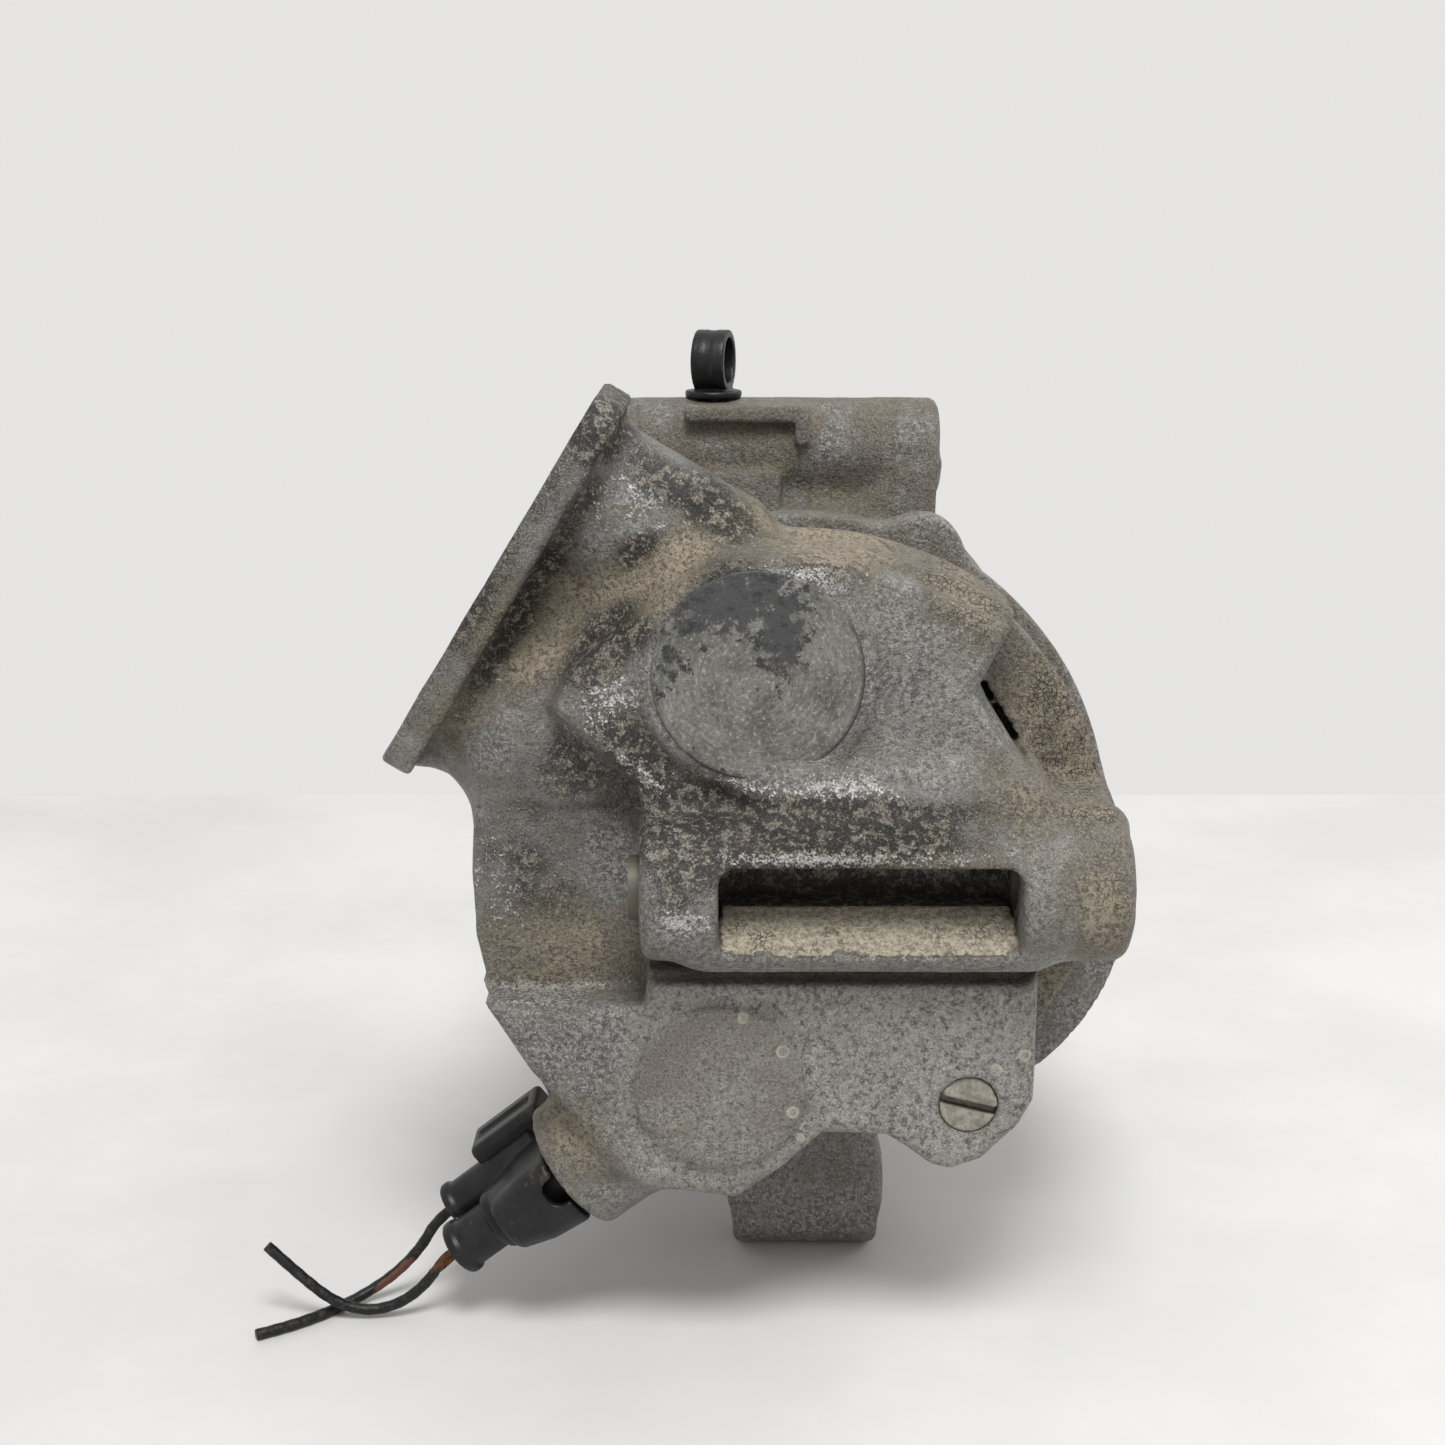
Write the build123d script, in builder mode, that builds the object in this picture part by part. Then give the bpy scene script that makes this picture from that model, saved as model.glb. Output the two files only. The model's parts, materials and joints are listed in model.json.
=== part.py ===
from build123d import *
import os
from math import cos, pi, radians, sin, sqrt, tan

# Variable swash-plate air-conditioning compressor, clutchless, with a poly-V pulley.
# Frame: shaft axis on Y, pulley towards +Y, +X to the right seen from the rear, +Z up.
# Origin: on the shaft axis, in the middle plane of the belt track.

os.makedirs("parts", exist_ok=True)

# ---- driving dimensions, millimetres ----
body_radius = 61.0              # cylinder block and rear housing flange
block_rear = -138.0             # face of the cylinder block towards the valve plate
block_front = -112.0            # face of the block towards the front housing
spigot_front = -93.0            # the block's spigot reaches inside the front housing
shoulder = -36.0                # front face of the front housing, under the bolt heads
rear_face = -180.0              # rear face of the rear housing
flange_rear = -155.0            # where the rear housing's round flange ends
crankcase_radius = 47.0
nose_radius = 17.5              # carries the pulley bearing
nose_end = 11.8

cylinders = 5
tilt = 12.0                     # swash plate angle, degrees
shoe_circle = 30.0              # radius of the shoe centres in the swash plane
swash_centre = (0.0, -78.0, 0.0)
plate_half = 3.0                # half the swash plate's thickness
shoe_ball = 9.0
piston_radius = 15.5
bore_radius = 16.0
bolt_circle = 51.0

shaft_radius = 8.0
slide_gap = 0.05                # between flat sliding faces
ball_gap = 0.15                 # between ball and socket faces

pulley_radius = 55.0
rib_pitch = 3.56
rib_count = 6
rib_depth = 2.9

lug_hole = 4.25                 # M8 mounting bolts pass through
bush_radius = 6.0

swash_normal = (0.0, cos(radians(tilt)), sin(radians(tilt)))
bore_circle = shoe_circle * (1 + cos(radians(tilt))) / 2
plate_stack = {"suction_reed_plate": 0.4, "valve_plate": 3.0, "discharge_reed_plate": 0.4, "reed_retainer": 0.8}
housing_front = block_rear - sum(plate_stack.values())


def section(y):
    """Plane across the shaft at y: local axes are X and Z, and extrusions run towards the rear."""
    return Plane.XZ.offset(-y)


def finish(piece, name):
    piece.label = name
    export_step(piece, f"parts/{name}.step")


def polar(radius, degrees):
    return (radius * cos(radians(degrees)), radius * sin(radians(degrees)))


def turned(points):
    """Solid turned about the shaft axis from a closed outline of (radius, y) points."""
    with BuildPart() as solid:
        with BuildSketch(Plane.XY):
            with BuildLine():
                Polyline(points, close=True)
            make_face()
        revolve(axis=Axis.Y)
    return solid.part


def ring(inner, outer, start, end):
    return turned([(inner, start), (outer, start), (outer, end), (inner, end)])


bore_angles = [90 + 360 / cylinders * n for n in range(cylinders)]
bolt_angles = [angle + 180 / cylinders for angle in bore_angles]
bore_places = [polar(bore_circle, angle) for angle in bore_angles]
bolt_places = [polar(bolt_circle, angle) for angle in bolt_angles]

# ---- rear housing: covers the valve plate, holds the ports, the control valve and the rear lug ----
port_tilt = 58.6                # the port face leans this far from level, degrees
port_centre = (-57.9, -157.0, 56.1)
port_length = 79.4
port_width = 40.0
port_thick = 6.0
port_along = (cos(radians(port_tilt)), 0, sin(radians(port_tilt)))
port_out = (-sin(radians(port_tilt)), 0, cos(radians(port_tilt)))
port_plane = Plane(origin=port_centre, x_dir=port_along, z_dir=port_out)
suction_at, suction_radius = -21.0, 9.5
discharge_at, discharge_radius = 20.5, 8.0
discharge_seat, discharge_inner = 24.0, 7.5     # depth of the wide mouth, and radius behind it
stud_offsets = (-1.0, 34.0)     # threaded holes for the pipe clamps, along the port face
stud_radius = 3.4

valve_lean = 38.0               # the control valve's axis points down to the left
valve_y = -163.0
valve_mouth = (-44.8, valve_y, -64.2)
valve_out = (-cos(radians(valve_lean)), 0, -sin(radians(valve_lean)))
valve_bore = 9.5

lug_y = -181.0
lug_z = 0.2
lug_radius = 13.5
lug_left, lug_right = -30.5, 59.7
window_left, window_right = -15.6, 39.2
window_low, window_high = -9.8, 6.9
window_deep = 24.0              # from behind the tube to just in front of its axis

pad_place = (-8.4, 40.1)
pad_radius = 19.4
plug_place = (32.1, -44.1)
plug_radius = 5.7


def valve_plane(out):
    """Plane across the control valve, out from its mouth: local x runs to the rear, y up to the left."""
    origin = [valve_mouth[k] + valve_out[k] * out for k in range(3)]
    return Plane(origin=origin, x_dir=(0, -1, 0), z_dir=valve_out)


chamber_floor = -160.0
with BuildPart() as chambers:
    with BuildSketch(section(housing_front)):
        Circle(43.0)
        Circle(25.0, mode=Mode.SUBTRACT)
        Circle(20.0)
    extrude(amount=housing_front - chamber_floor)
    with BuildSketch(valve_plane(0)):
        Circle(valve_bore + 3)
    extrude(amount=-62, mode=Mode.SUBTRACT)

with BuildPart() as rear_housing:
    with BuildSketch(section(housing_front)):
        Circle(body_radius)
    extrude(amount=housing_front - flange_rear)
    # the body behind the flange: cut straight on the right, stepped along the bottom
    with BuildSketch(section(flange_rear)):
        with BuildLine():
            ThreePointArc((39.0, 49.4), (-20.0, 59.6), (-60.2, 18.0))
            ThreePointArc((-60.2, 18.0), (-62.8, -2.0), (-60.0, -25.0))
            Polyline((-60.0, -25.0), (-50.0, -45.0), (-37.0, -62.0), (-12.0, -64.0), (0.0, -56.5),
                     (8.0, -53.0), (21.0, -56.5), (29.2, -61.0), (42.6, -52.0), (45.0, -43.5),
                     (45.3, 15.2), (32.4, 35.8), (39.0, 49.4))
        make_face()
    extrude(amount=flange_rear - rear_face)
    # recess on the left
    with BuildSketch(section(-169)):
        with Locations((-50.0, -3.5)):
            Rectangle(40, 39)
    extrude(amount=20, mode=Mode.SUBTRACT)
    # port face slab, its two passages and the web under it
    with BuildSketch(port_plane):
        RectangleRounded(port_length, port_width, 6)
    extrude(amount=-port_thick)
    with BuildSketch(port_plane.offset(-port_thick)):
        with Locations((suction_at, 0), (discharge_at, 0)):
            Circle(13.0)
    extrude(amount=-30)
    with BuildSketch(section(-148)):
        with BuildLine():
            Polyline((-71.0, 24.0), (-36.0, 83.0), (-9.0, 67.0), (-8.0, 50.0), (-50.0, 10.0), close=True)
        make_face()
    extrude(amount=14)
    # control valve boss
    with BuildSketch(valve_plane(0)):
        Circle(13.5)
    extrude(amount=-34)
    # rear mounting lug, a tube across the housing with a window in its back
    with BuildSketch(Plane.YZ.offset(lug_left)):
        with Locations((lug_y, lug_z)):
            Circle(lug_radius)
    extrude(amount=lug_right - lug_left)
    with BuildSketch(Plane.YZ.offset(30)):
        with Locations((lug_y + 16, lug_z)):
            Rectangle(32, 2 * lug_radius)
    extrude(amount=lug_right - 30)
    # machined pad
    with BuildSketch(section(rear_face + 1)):
        with Locations(pad_place):
            Circle(pad_radius)
    extrude(amount=2.5)
    # hollows
    add(chambers.part, mode=Mode.SUBTRACT)
    with BuildSketch(Plane.YZ.offset(window_left)):
        with Locations((lug_y + 9 - window_deep / 2, (window_low + window_high) / 2)):
            RectangleRounded(window_deep, window_high - window_low, 4)
    extrude(amount=window_right - window_left, mode=Mode.SUBTRACT)
    with BuildSketch(Plane.YZ.offset(lug_left)):
        with Locations((lug_y, lug_z)):
            Circle(bush_radius)
    extrude(amount=lug_right - lug_left, mode=Mode.SUBTRACT)
    with BuildSketch(valve_plane(0)):
        Circle(valve_bore)
    extrude(amount=-58, mode=Mode.SUBTRACT)
    with BuildSketch(port_plane):
        with Locations((suction_at, 0)):
            Circle(suction_radius)
    extrude(amount=-42, mode=Mode.SUBTRACT)
    with BuildSketch(port_plane):
        with Locations((discharge_at, 0)):
            Circle(discharge_radius)
    extrude(amount=-discharge_seat, mode=Mode.SUBTRACT)
    with BuildSketch(port_plane):
        with Locations((discharge_at, 0)):
            Circle(discharge_inner)
    extrude(amount=-62, mode=Mode.SUBTRACT)
    with BuildSketch(port_plane):
        with Locations(*[(offset, 0) for offset in stud_offsets]):
            Circle(stud_radius)
    extrude(amount=-18, mode=Mode.SUBTRACT)
    with BuildSketch(section(housing_front)):
        with Locations(*bolt_places):
            Circle(3.0)
    extrude(amount=11.4, mode=Mode.SUBTRACT)
    with BuildSketch(section(rear_face + 12)):
        with Locations(plug_place):
            Circle(plug_radius)
    extrude(amount=20, mode=Mode.SUBTRACT)
finish(rear_housing.part, "rear_housing")

# ---- slotted plug in the rear housing and its sealing washer ----
with BuildPart() as oil_plug:
    with BuildSketch(section(rear_face + 12)):
        with Locations(plug_place):
            Circle(plug_radius)
    extrude(amount=10.8)
    with BuildSketch(Plane(origin=(plug_place[0], rear_face + 1.2, plug_place[1]), z_dir=(0, -1, 0),
                           x_dir=(cos(radians(-14)), 0, sin(radians(-14))))):
        Rectangle(12, 1.6)
    extrude(amount=-1.5, mode=Mode.SUBTRACT)
finish(oil_plug.part, "oil_plug")

# ---- valve stack between the cylinder block and the rear housing ----
port_holes_out = [polar(bore_circle + 7, angle) for angle in bore_angles]
port_holes_in = [polar(bore_circle - 14, angle) for angle in bore_angles]
stack_y = block_rear
for plate_name, plate_thickness in plate_stack.items():
    with BuildPart() as stack_plate:
        with BuildSketch(section(stack_y)):
            Circle(body_radius - 1)
            with Locations(*bolt_places):
                Circle(3.3, mode=Mode.SUBTRACT)
            if plate_name == "valve_plate":
                with Locations(*port_holes_out, *port_holes_in):
                    Circle(2.5, mode=Mode.SUBTRACT)
            else:
                # a tongue is left free in a window over each bore
                for angle in bore_angles:
                    reach = bore_circle - 4 if plate_name == "suction_reed_plate" else bore_circle - 1
                    with Locations(Location((*polar(reach, angle), 0), angle)):
                        SlotOverall(24, 9, mode=Mode.SUBTRACT)
                        if plate_name != "reed_retainer":
                            with Locations((-3.5, 0)):
                                Rectangle(21, 5)
        extrude(amount=plate_thickness)
    finish(stack_plate.part, plate_name)
    stack_y -= plate_thickness

# ---- cylinder block ----
bulge_place = (20.0, -16.0)
bulge_radius = 49.8
ear_place = (25.0, 55.0)
lower_lug = (-128.0, -86.5)
lower_lug_radius = 11.0
lower_lug_left, lower_lug_right = -12.6, 18.5
centre_bore = 12.05
seal_inner, seal_outer = 55.6, 57.9
with BuildPart() as cylinder_block:
    with BuildSketch(section(block_front)):
        Circle(body_radius - 1)
        with Locations(bulge_place):
            Circle(bulge_radius)
    extrude(amount=block_front - block_rear)
    with BuildSketch(section(block_rear + 8)):
        Circle(body_radius + 2.5)
        with Locations(ear_place):
            Circle(8.3)
    extrude(amount=8)
    with BuildSketch(section(spigot_front)):
        Circle(crankcase_radius - 0.2)
    extrude(amount=spigot_front - block_front)
    with BuildSketch(Plane.YZ.offset(lower_lug_left)):
        with Locations(lower_lug):
            Circle(lower_lug_radius)
        with Locations((lower_lug[0], (lower_lug[1] - body_radius) / 2)):
            Rectangle(16, body_radius + lower_lug[1] + 58)
    extrude(amount=lower_lug_right - lower_lug_left)
    with BuildSketch(section(spigot_front)):
        with Locations(*bore_places):
            Circle(bore_radius)
        Circle(centre_bore)
    extrude(amount=spigot_front - block_rear, mode=Mode.SUBTRACT)
    with BuildSketch(section(block_front)):
        with Locations(*bolt_places):
            Circle(3.3)
    extrude(amount=block_front - block_rear, mode=Mode.SUBTRACT)
    add(ring(seal_inner - 0.1, seal_outer + 0.1, block_front - 1.6, block_front), mode=Mode.SUBTRACT)
    with BuildSketch(Plane.YZ.offset(lower_lug_left)):
        with Locations(lower_lug):
            Circle(lug_hole)
    extrude(amount=lower_lug_right - lower_lug_left, mode=Mode.SUBTRACT)
finish(cylinder_block.part, "cylinder_block")

# ---- front housing: crankcase, nose, top mounting tube ----
top_lug = (-100.0, 73.3)
top_lug_radius = 10.0
top_lug_left, top_lug_right = -40.0, 31.0
front_wall = turned([(0, block_front), (body_radius, block_front), (body_radius, shoulder), (38, shoulder),
                     (28, -28), (20, -25), (nose_radius, -22), (nose_radius, nose_end), (0, nose_end)])
front_hollow = turned([(0, block_front), (crankcase_radius, block_front), (crankcase_radius, -46), (43, -42),
                       (12.05, -42), (12.05, -28), (9, -28), (9, -24), (13, -24), (13, nose_end), (0, nose_end)])
with BuildPart() as front_housing:
    add(front_wall)
    with BuildSketch(section(block_front + 12)):
        with Locations(bulge_place):
            Circle(bulge_radius)
        Circle(crankcase_radius + 8)
    extrude(amount=12)
    with BuildSketch(Plane.YZ.offset(top_lug_left)):
        with Locations(top_lug):
            Circle(top_lug_radius)
    extrude(amount=top_lug_right - top_lug_left)
    with BuildSketch(section(top_lug[0] + 6)):
        with Locations((-9.0, 62.0)):
            Rectangle(62, 22)
    extrude(amount=12)
    add(front_hollow, mode=Mode.SUBTRACT)
    add(ring(nose_radius - 1.0, nose_radius + 1, 10.05, 11.4), mode=Mode.SUBTRACT)
    with BuildSketch(section(shoulder)):
        with Locations(*bolt_places):
            Circle(3.3)
    extrude(amount=shoulder - block_front, mode=Mode.SUBTRACT)
    with BuildSketch(Plane.YZ.offset(top_lug_left)):
        with Locations(top_lug):
            Circle(lug_hole)
    extrude(amount=top_lug_right - top_lug_left, mode=Mode.SUBTRACT)
    # blind hole for the cable clip's foot
    clip_x = -16.7
    clip_seat = top_lug[1] + top_lug_radius
    with BuildSketch(Plane.XY.offset(clip_seat + 1)):
        with Locations((clip_x, top_lug[0])):
            Circle(2.6)
    extrude(amount=-5.5, mode=Mode.SUBTRACT)
finish(front_housing.part, "front_housing")

# ---- ring seal in a face groove, outside the bolts ----
finish(ring(seal_inner, seal_outer, block_front - 1.5, block_front - 0.05), "housing_seal")

# ---- five through bolts from the front housing into the rear housing ----
with BuildPart() as through_bolts:
    with BuildSketch(section(shoulder)):
        with Locations(*bolt_places):
            Circle(2.95)
    extrude(amount=shoulder + 153)
    with BuildSketch(section(shoulder + 1.2)):
        with Locations(*bolt_places):
            Circle(6.2)
    extrude(amount=1.2)
    with BuildSketch(section(shoulder + 6.2)):
        with Locations(*bolt_places):
            RegularPolygon(5.0, 6, major_radius=False)
    extrude(amount=5)
finish(through_bolts.part, "through_bolts")

# ---- shaft and what turns with it ----
shaft = turned([(0, -130), (shaft_radius, -130), (shaft_radius, -26), (7.4, -25), (7.4, -8), (6, -7), (6, 12),
                (3.9, 12.5), (3.9, 21), (3.2, 21.7), (0, 21.7)])
finish(shaft, "shaft")

arm_low, arm_high = 10.2, 15.8
pin_place = (-62.0, 13.0)
with BuildPart() as lug_plate:
    add(ring(shaft_radius, 40, -55, -49))
    add(ring(shaft_radius, 22, -49, -46))
    for side in (-1, 1):
        with BuildSketch(section(-53)):
            with Locations((side * 7.5, (arm_low + arm_high) / 2)):
                Rectangle(3, arm_high - arm_low)
        extrude(amount=13)
    with BuildSketch(section(-49)):
        with Locations((0, -28)):
            SlotOverall(44, 14)
    extrude(amount=-2.4)
    with BuildSketch(Plane.YZ.offset(-10)):
        with Locations(pin_place):
            Circle(2.0)
    extrude(amount=20, mode=Mode.SUBTRACT)
finish(lug_plate.part, "lug_plate")

with BuildPart() as hinge_pin:
    with BuildSketch(Plane.YZ.offset(-9.4)):
        with Locations(pin_place):
            Circle(1.97)
    extrude(amount=18.8)
finish(hinge_pin.part, "hinge_pin")

swash_axis = Axis(swash_centre, swash_normal)
swash_plane = Plane(origin=swash_centre, x_dir=(1, 0, 0), z_dir=(0, -swash_normal[2], swash_normal[1]))
sleeve_ball = 14.0
with BuildPart() as swash_plate:
    with BuildSketch(swash_plane):
        with BuildLine():
            Polyline((11.5, -8), (17, -8), (17, -plate_half), (39.5, -plate_half), (39.5, plate_half),
                     (17, plate_half), (17, 8), (11.5, 8), close=True)
        make_face()
    revolve(axis=swash_axis)
    with BuildSketch(section(-60)):
        with Locations((0, (arm_low + arm_high) / 2)):
            Rectangle(11, arm_high - arm_low)
    extrude(amount=14)
    with BuildSketch(Plane.YZ.offset(-6)):
        with Locations(pin_place):
            Circle(2.05)
    extrude(amount=12, mode=Mode.SUBTRACT)
    with Locations(swash_centre):
        Sphere(sleeve_ball + 0.1, mode=Mode.SUBTRACT)
    with BuildSketch(section(-60)):
        Circle(9.9)
    extrude(amount=36, mode=Mode.SUBTRACT)
finish(swash_plate.part, "swash_plate")

sleeve_half = 9.0
with BuildPart() as swash_sleeve:
    with BuildSketch(Plane.XY):
        with BuildLine():
            sleeve_edge = sqrt(sleeve_ball**2 - sleeve_half**2)
            low, high = swash_centre[1] - sleeve_half, swash_centre[1] + sleeve_half
            Polyline((sleeve_edge, low), (shaft_radius + 0.03, low), (shaft_radius + 0.03, high),
                     (sleeve_edge, high))
            ThreePointArc((sleeve_edge, high), (sleeve_ball, swash_centre[1]), (sleeve_edge, low))
        make_face()
    revolve(axis=Axis.Y)
finish(swash_sleeve.part, "swash_sleeve")


def coil_spring(start, length, turns, mean_radius, wire_radius):
    """Compression spring about the shaft, from y = start towards the rear."""
    with BuildPart() as spring:
        with BuildLine():
            coil = Helix(pitch=length / turns, height=length, radius=mean_radius, center=(0, start, 0),
                         direction=(0, -1, 0))
        with BuildSketch(Plane(origin=coil @ 0, z_dir=coil % 0)):
            Circle(wire_radius)
        sweep(is_frenet=True)
    return spring.part


finish(coil_spring(-55.7, 12.6, 4, 8.9, 0.6), "tilt_spring")
finish(coil_spring(-87.7, 8.6, 3, 8.9, 0.6), "return_spring")
finish(ring(shaft_radius, 10.2, -98.2, -97.0), "shaft_snap_ring")

# ---- shoes and pistons ----
# The shoe centres stand on a circle in the swash plane.  While the shaft turns once, each
# centre runs to and fro along its bore and wanders sideways by shoe_circle * (1 - cos(tilt)) / 2.
shoe_centres = []
for angle in bore_angles:
    along_x, along_z = polar(shoe_circle, angle)
    shoe_centres.append((along_x, swash_centre[1] - along_z * swash_normal[2], along_z * swash_normal[1]))


def shoe(centre, side):
    """Hemispherical shoe on the front (side 1) or rear (side -1) of the swash plate."""
    face = plate_half + slide_gap
    edge = sqrt(shoe_ball**2 - face**2)
    middle = radians(60)
    with BuildPart() as cap:
        with BuildSketch(Plane(origin=centre, x_dir=(1, 0, 0), z_dir=(0, -swash_normal[2], swash_normal[1]))):
            with BuildLine():
                Line((0, side * face), (edge, side * face))
                ThreePointArc((edge, side * face), (shoe_ball * cos(middle), side * shoe_ball * sin(middle)),
                              (0, side * shoe_ball))
                Line((0, side * shoe_ball), (0, side * face))
            make_face()
        revolve(axis=Axis(centre, swash_normal))
    return cap.part


def piston(centre, angle):
    """Single-headed piston: crown in the bore, bridge around the rim of the swash plate."""
    outward = polar(1, angle)
    radial = Plane(origin=centre, x_dir=(outward[0], 0, outward[1]), z_dir=(-outward[1], 0, outward[0]))
    mouth = 3.9                 # half the height of the slot over the swash plate
    with BuildPart() as slot:
        with BuildSketch(radial):
            with BuildLine():
                Polyline((0, -mouth), (18, -mouth - 4.5), (18, mouth + 4.5), (0, mouth), close=True)
            make_face()
        revolve(axis=Axis(centre, (0, 1, 0)))
        split(bisect_by=Plane(origin=[centre[k] + 10.5 * (outward[0], 0, outward[1])[k] for k in range(3)],
                              z_dir=(outward[0], 0, outward[1])), keep=Keep.BOTTOM)
    with BuildPart() as body:
        with BuildSketch(section(centre[1] + 14)):
            with Locations((centre[0], centre[2])):
                Circle(piston_radius)
        extrude(amount=67.2)
        add(slot.part, mode=Mode.SUBTRACT)
        with Locations(centre):
            Sphere(shoe_ball + ball_gap, mode=Mode.SUBTRACT)
        # flat on the inner side of the bridge, waist behind the rear pocket, ring groove
        with BuildSketch(radial.offset(-20)):
            with Locations((-18.5, -6)):
                Rectangle(16, 42)
            with Locations((-12, -20)):
                Rectangle(14, 12)
        extrude(amount=40, mode=Mode.SUBTRACT)
        with BuildSketch(radial):
            with Locations((piston_radius, -48)):
                Rectangle(0.8, 1.6)
        revolve(axis=Axis(centre, (0, 1, 0)), mode=Mode.SUBTRACT)
    return body.part


with BuildPart() as front_shoes:
    for centre in shoe_centres:
        add(shoe(centre, 1))
finish(front_shoes.part, "front_shoes")

for number, (centre, angle) in enumerate(zip(shoe_centres, bore_angles), 1):
    finish(shoe(centre, -1), f"rear_shoe_{number}")
    finish(piston(centre, angle), f"piston_{number}")

# ---- bearings and seals on the shaft ----
with BuildPart() as radial_bearings:
    add(ring(shaft_radius + 0.03, 12.0, -41.5, -28.5))
    add(ring(shaft_radius + 0.03, 12.0, -128, -114))
finish(radial_bearings.part, "radial_bearings")
finish(ring(shaft_radius + 0.2, 22, -45.95, -42.05), "front_thrust_bearing")
finish(ring(0, 11.9, -131.6, -130.05), "rear_thrust_washer")
end_play_adjuster = ring(0, 12.0, -136.5, -131.65)
finish(end_play_adjuster, "end_play_adjuster")
finish(turned([(7.44, -22), (12.9, -23), (12.9, -13), (11.5, -13), (11.5, -20.5), (7.44, -18)]), "shaft_seal")

# ---- pulley, its bearing and the drive hub ----
track_half = rib_pitch * rib_count / 2
rim_points = [(pulley_radius, -13), (pulley_radius, -track_half)]
for rib in range(rib_count):
    low = -track_half + rib * rib_pitch
    rim_points += [(pulley_radius - rib_depth, low + rib_pitch / 2 - 0.3),
                   (pulley_radius - rib_depth, low + rib_pitch / 2 + 0.3),
                   (pulley_radius, low + rib_pitch - 0.2)]
    if rib < rib_count - 1:
        rim_points.append((pulley_radius, low + rib_pitch + 0.2))
rim_points += [(pulley_radius, 13), (48, 13), (46, 8), (33, 8), (31, 10), (27.5, 10), (27.5, -10), (31, -10),
               (33, 2), (46, 2), (48, -13)]
drive_places = [polar(39, 60 * n) for n in range(6)]
with BuildPart() as pulley:
    with BuildSketch(Plane.XY):
        with BuildLine():
            Polyline(rim_points, close=True)
        make_face()
    revolve(axis=Axis.Y)
    with BuildSketch(section(9)):
        with Locations(*drive_places):
            Circle(2.1)
    extrude(amount=12, mode=Mode.SUBTRACT)
finish(pulley.part, "pulley")

ball_circle = 22.5
ball_radius = 3.2
ball_places = [polar(ball_circle, 30 * n) for n in range(12)]


def bearing_race(inner, outer):
    with BuildPart() as race:
        add(ring(inner, outer, -10, 10))
        with BuildSketch(Plane.XY):
            with Locations((ball_circle, 0)):
                Circle(ball_radius + 0.1)
        revolve(axis=Axis.Y, mode=Mode.SUBTRACT)
    return race.part


finish(bearing_race(nose_radius, 20.8), "bearing_inner_race")
finish(bearing_race(24.2, 27.5), "bearing_outer_race")
with BuildPart() as bearing_balls:
    for ball_x, ball_z in ball_places:
        with Locations((ball_x, 0, ball_z)):
            Sphere(ball_radius)
finish(bearing_balls.part, "bearing_balls")
with BuildPart() as bearing_cage:
    add(ring(21.7, 23.3, -5, 5))
    for ball_x, ball_z in ball_places:
        with Locations((ball_x, 0, ball_z)):
            Sphere(ball_radius + 0.1, mode=Mode.SUBTRACT)
finish(bearing_cage.part, "bearing_cage")
with BuildPart() as bearing_seals:
    add(ring(20.8, 24.0, -9.5, -8.5))
    add(ring(20.8, 24.0, 8.5, 9.5))
finish(bearing_seals.part, "bearing_seals")
with BuildPart() as snap_rings:
    add(ring(9.5, 12.9, -12.7, -11.5))
    add(ring(nose_radius - 0.9, nose_radius + 1.5, 10.1, 11.3))
finish(snap_rings.part, "snap_rings")

hub_blank = turned([(6, -5), (9.5, -5), (9.5, 9.8), (12, 12.2), (24, 12.2), (24, 14.4), (6, 14.4)])
with BuildPart() as drive_hub:
    add(hub_blank)
    for n in range(6):
        with BuildSketch(section(14.4)):
            with Locations(Location((*polar(33, 60 * n), 0), 60 * n)):
                SlotOverall(26, 12)
        extrude(amount=2.2)
    with BuildSketch(section(14.4)):
        with Locations(*drive_places):
            Circle(2.1)
    extrude(amount=2.2, mode=Mode.SUBTRACT)
finish(drive_hub.part, "drive_hub")

with BuildPart() as damper_rubbers:
    with BuildSketch(section(12.15)):
        with Locations(*drive_places):
            Circle(6)
            Circle(2.1, mode=Mode.SUBTRACT)
    extrude(amount=4.1)
finish(damper_rubbers.part, "damper_rubbers")

with BuildPart() as drive_pins:
    with BuildSketch(section(16)):
        with Locations(*drive_places):
            Circle(3.4)
    extrude(amount=1.55)
    with BuildSketch(section(16)):
        with Locations(*drive_places):
            Circle(2.0)
    extrude(amount=16)
finish(drive_pins.part, "drive_pins")

with BuildPart() as hub_nut:
    with BuildSketch(section(20.5)):
        RegularPolygon(6.5, 6, major_radius=False)
        Circle(3.95, mode=Mode.SUBTRACT)
    extrude(amount=6.05)
finish(hub_nut.part, "hub_nut")

# ---- control valve and its electrical plug ----
ring_grooves = (-50.0, -38.0, -26.0, -11.0)
with BuildPart() as control_valve:
    with BuildSketch(valve_plane(-6)):
        Circle(valve_bore - 0.1)
    extrude(amount=-49)
    for groove in ring_grooves:
        with BuildSketch(valve_plane(groove + 1)):
            Circle(valve_bore + 1)
            Circle(7.6, mode=Mode.SUBTRACT)
        extrude(amount=-2, mode=Mode.SUBTRACT)
    with BuildSketch(valve_plane(-9)):
        Circle(5.0)
    extrude(amount=-25, mode=Mode.SUBTRACT)
finish(control_valve.part, "control_valve")

with BuildPart() as valve_rings:
    for groove in ring_grooves:
        with BuildSketch(valve_plane(groove + 0.9)):
            Circle(valve_bore - 0.05)
            Circle(7.7, mode=Mode.SUBTRACT)
        extrude(amount=-1.8)
finish(valve_rings.part, "valve_o_rings")

with BuildPart() as valve_plunger:
    with BuildSketch(valve_plane(-12)):
        Circle(4.95)
    extrude(amount=-18)
    with BuildSketch(valve_plane(-30)):
        Circle(1.5)
    extrude(amount=-3)
finish(valve_plunger.part, "valve_plunger")

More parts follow.
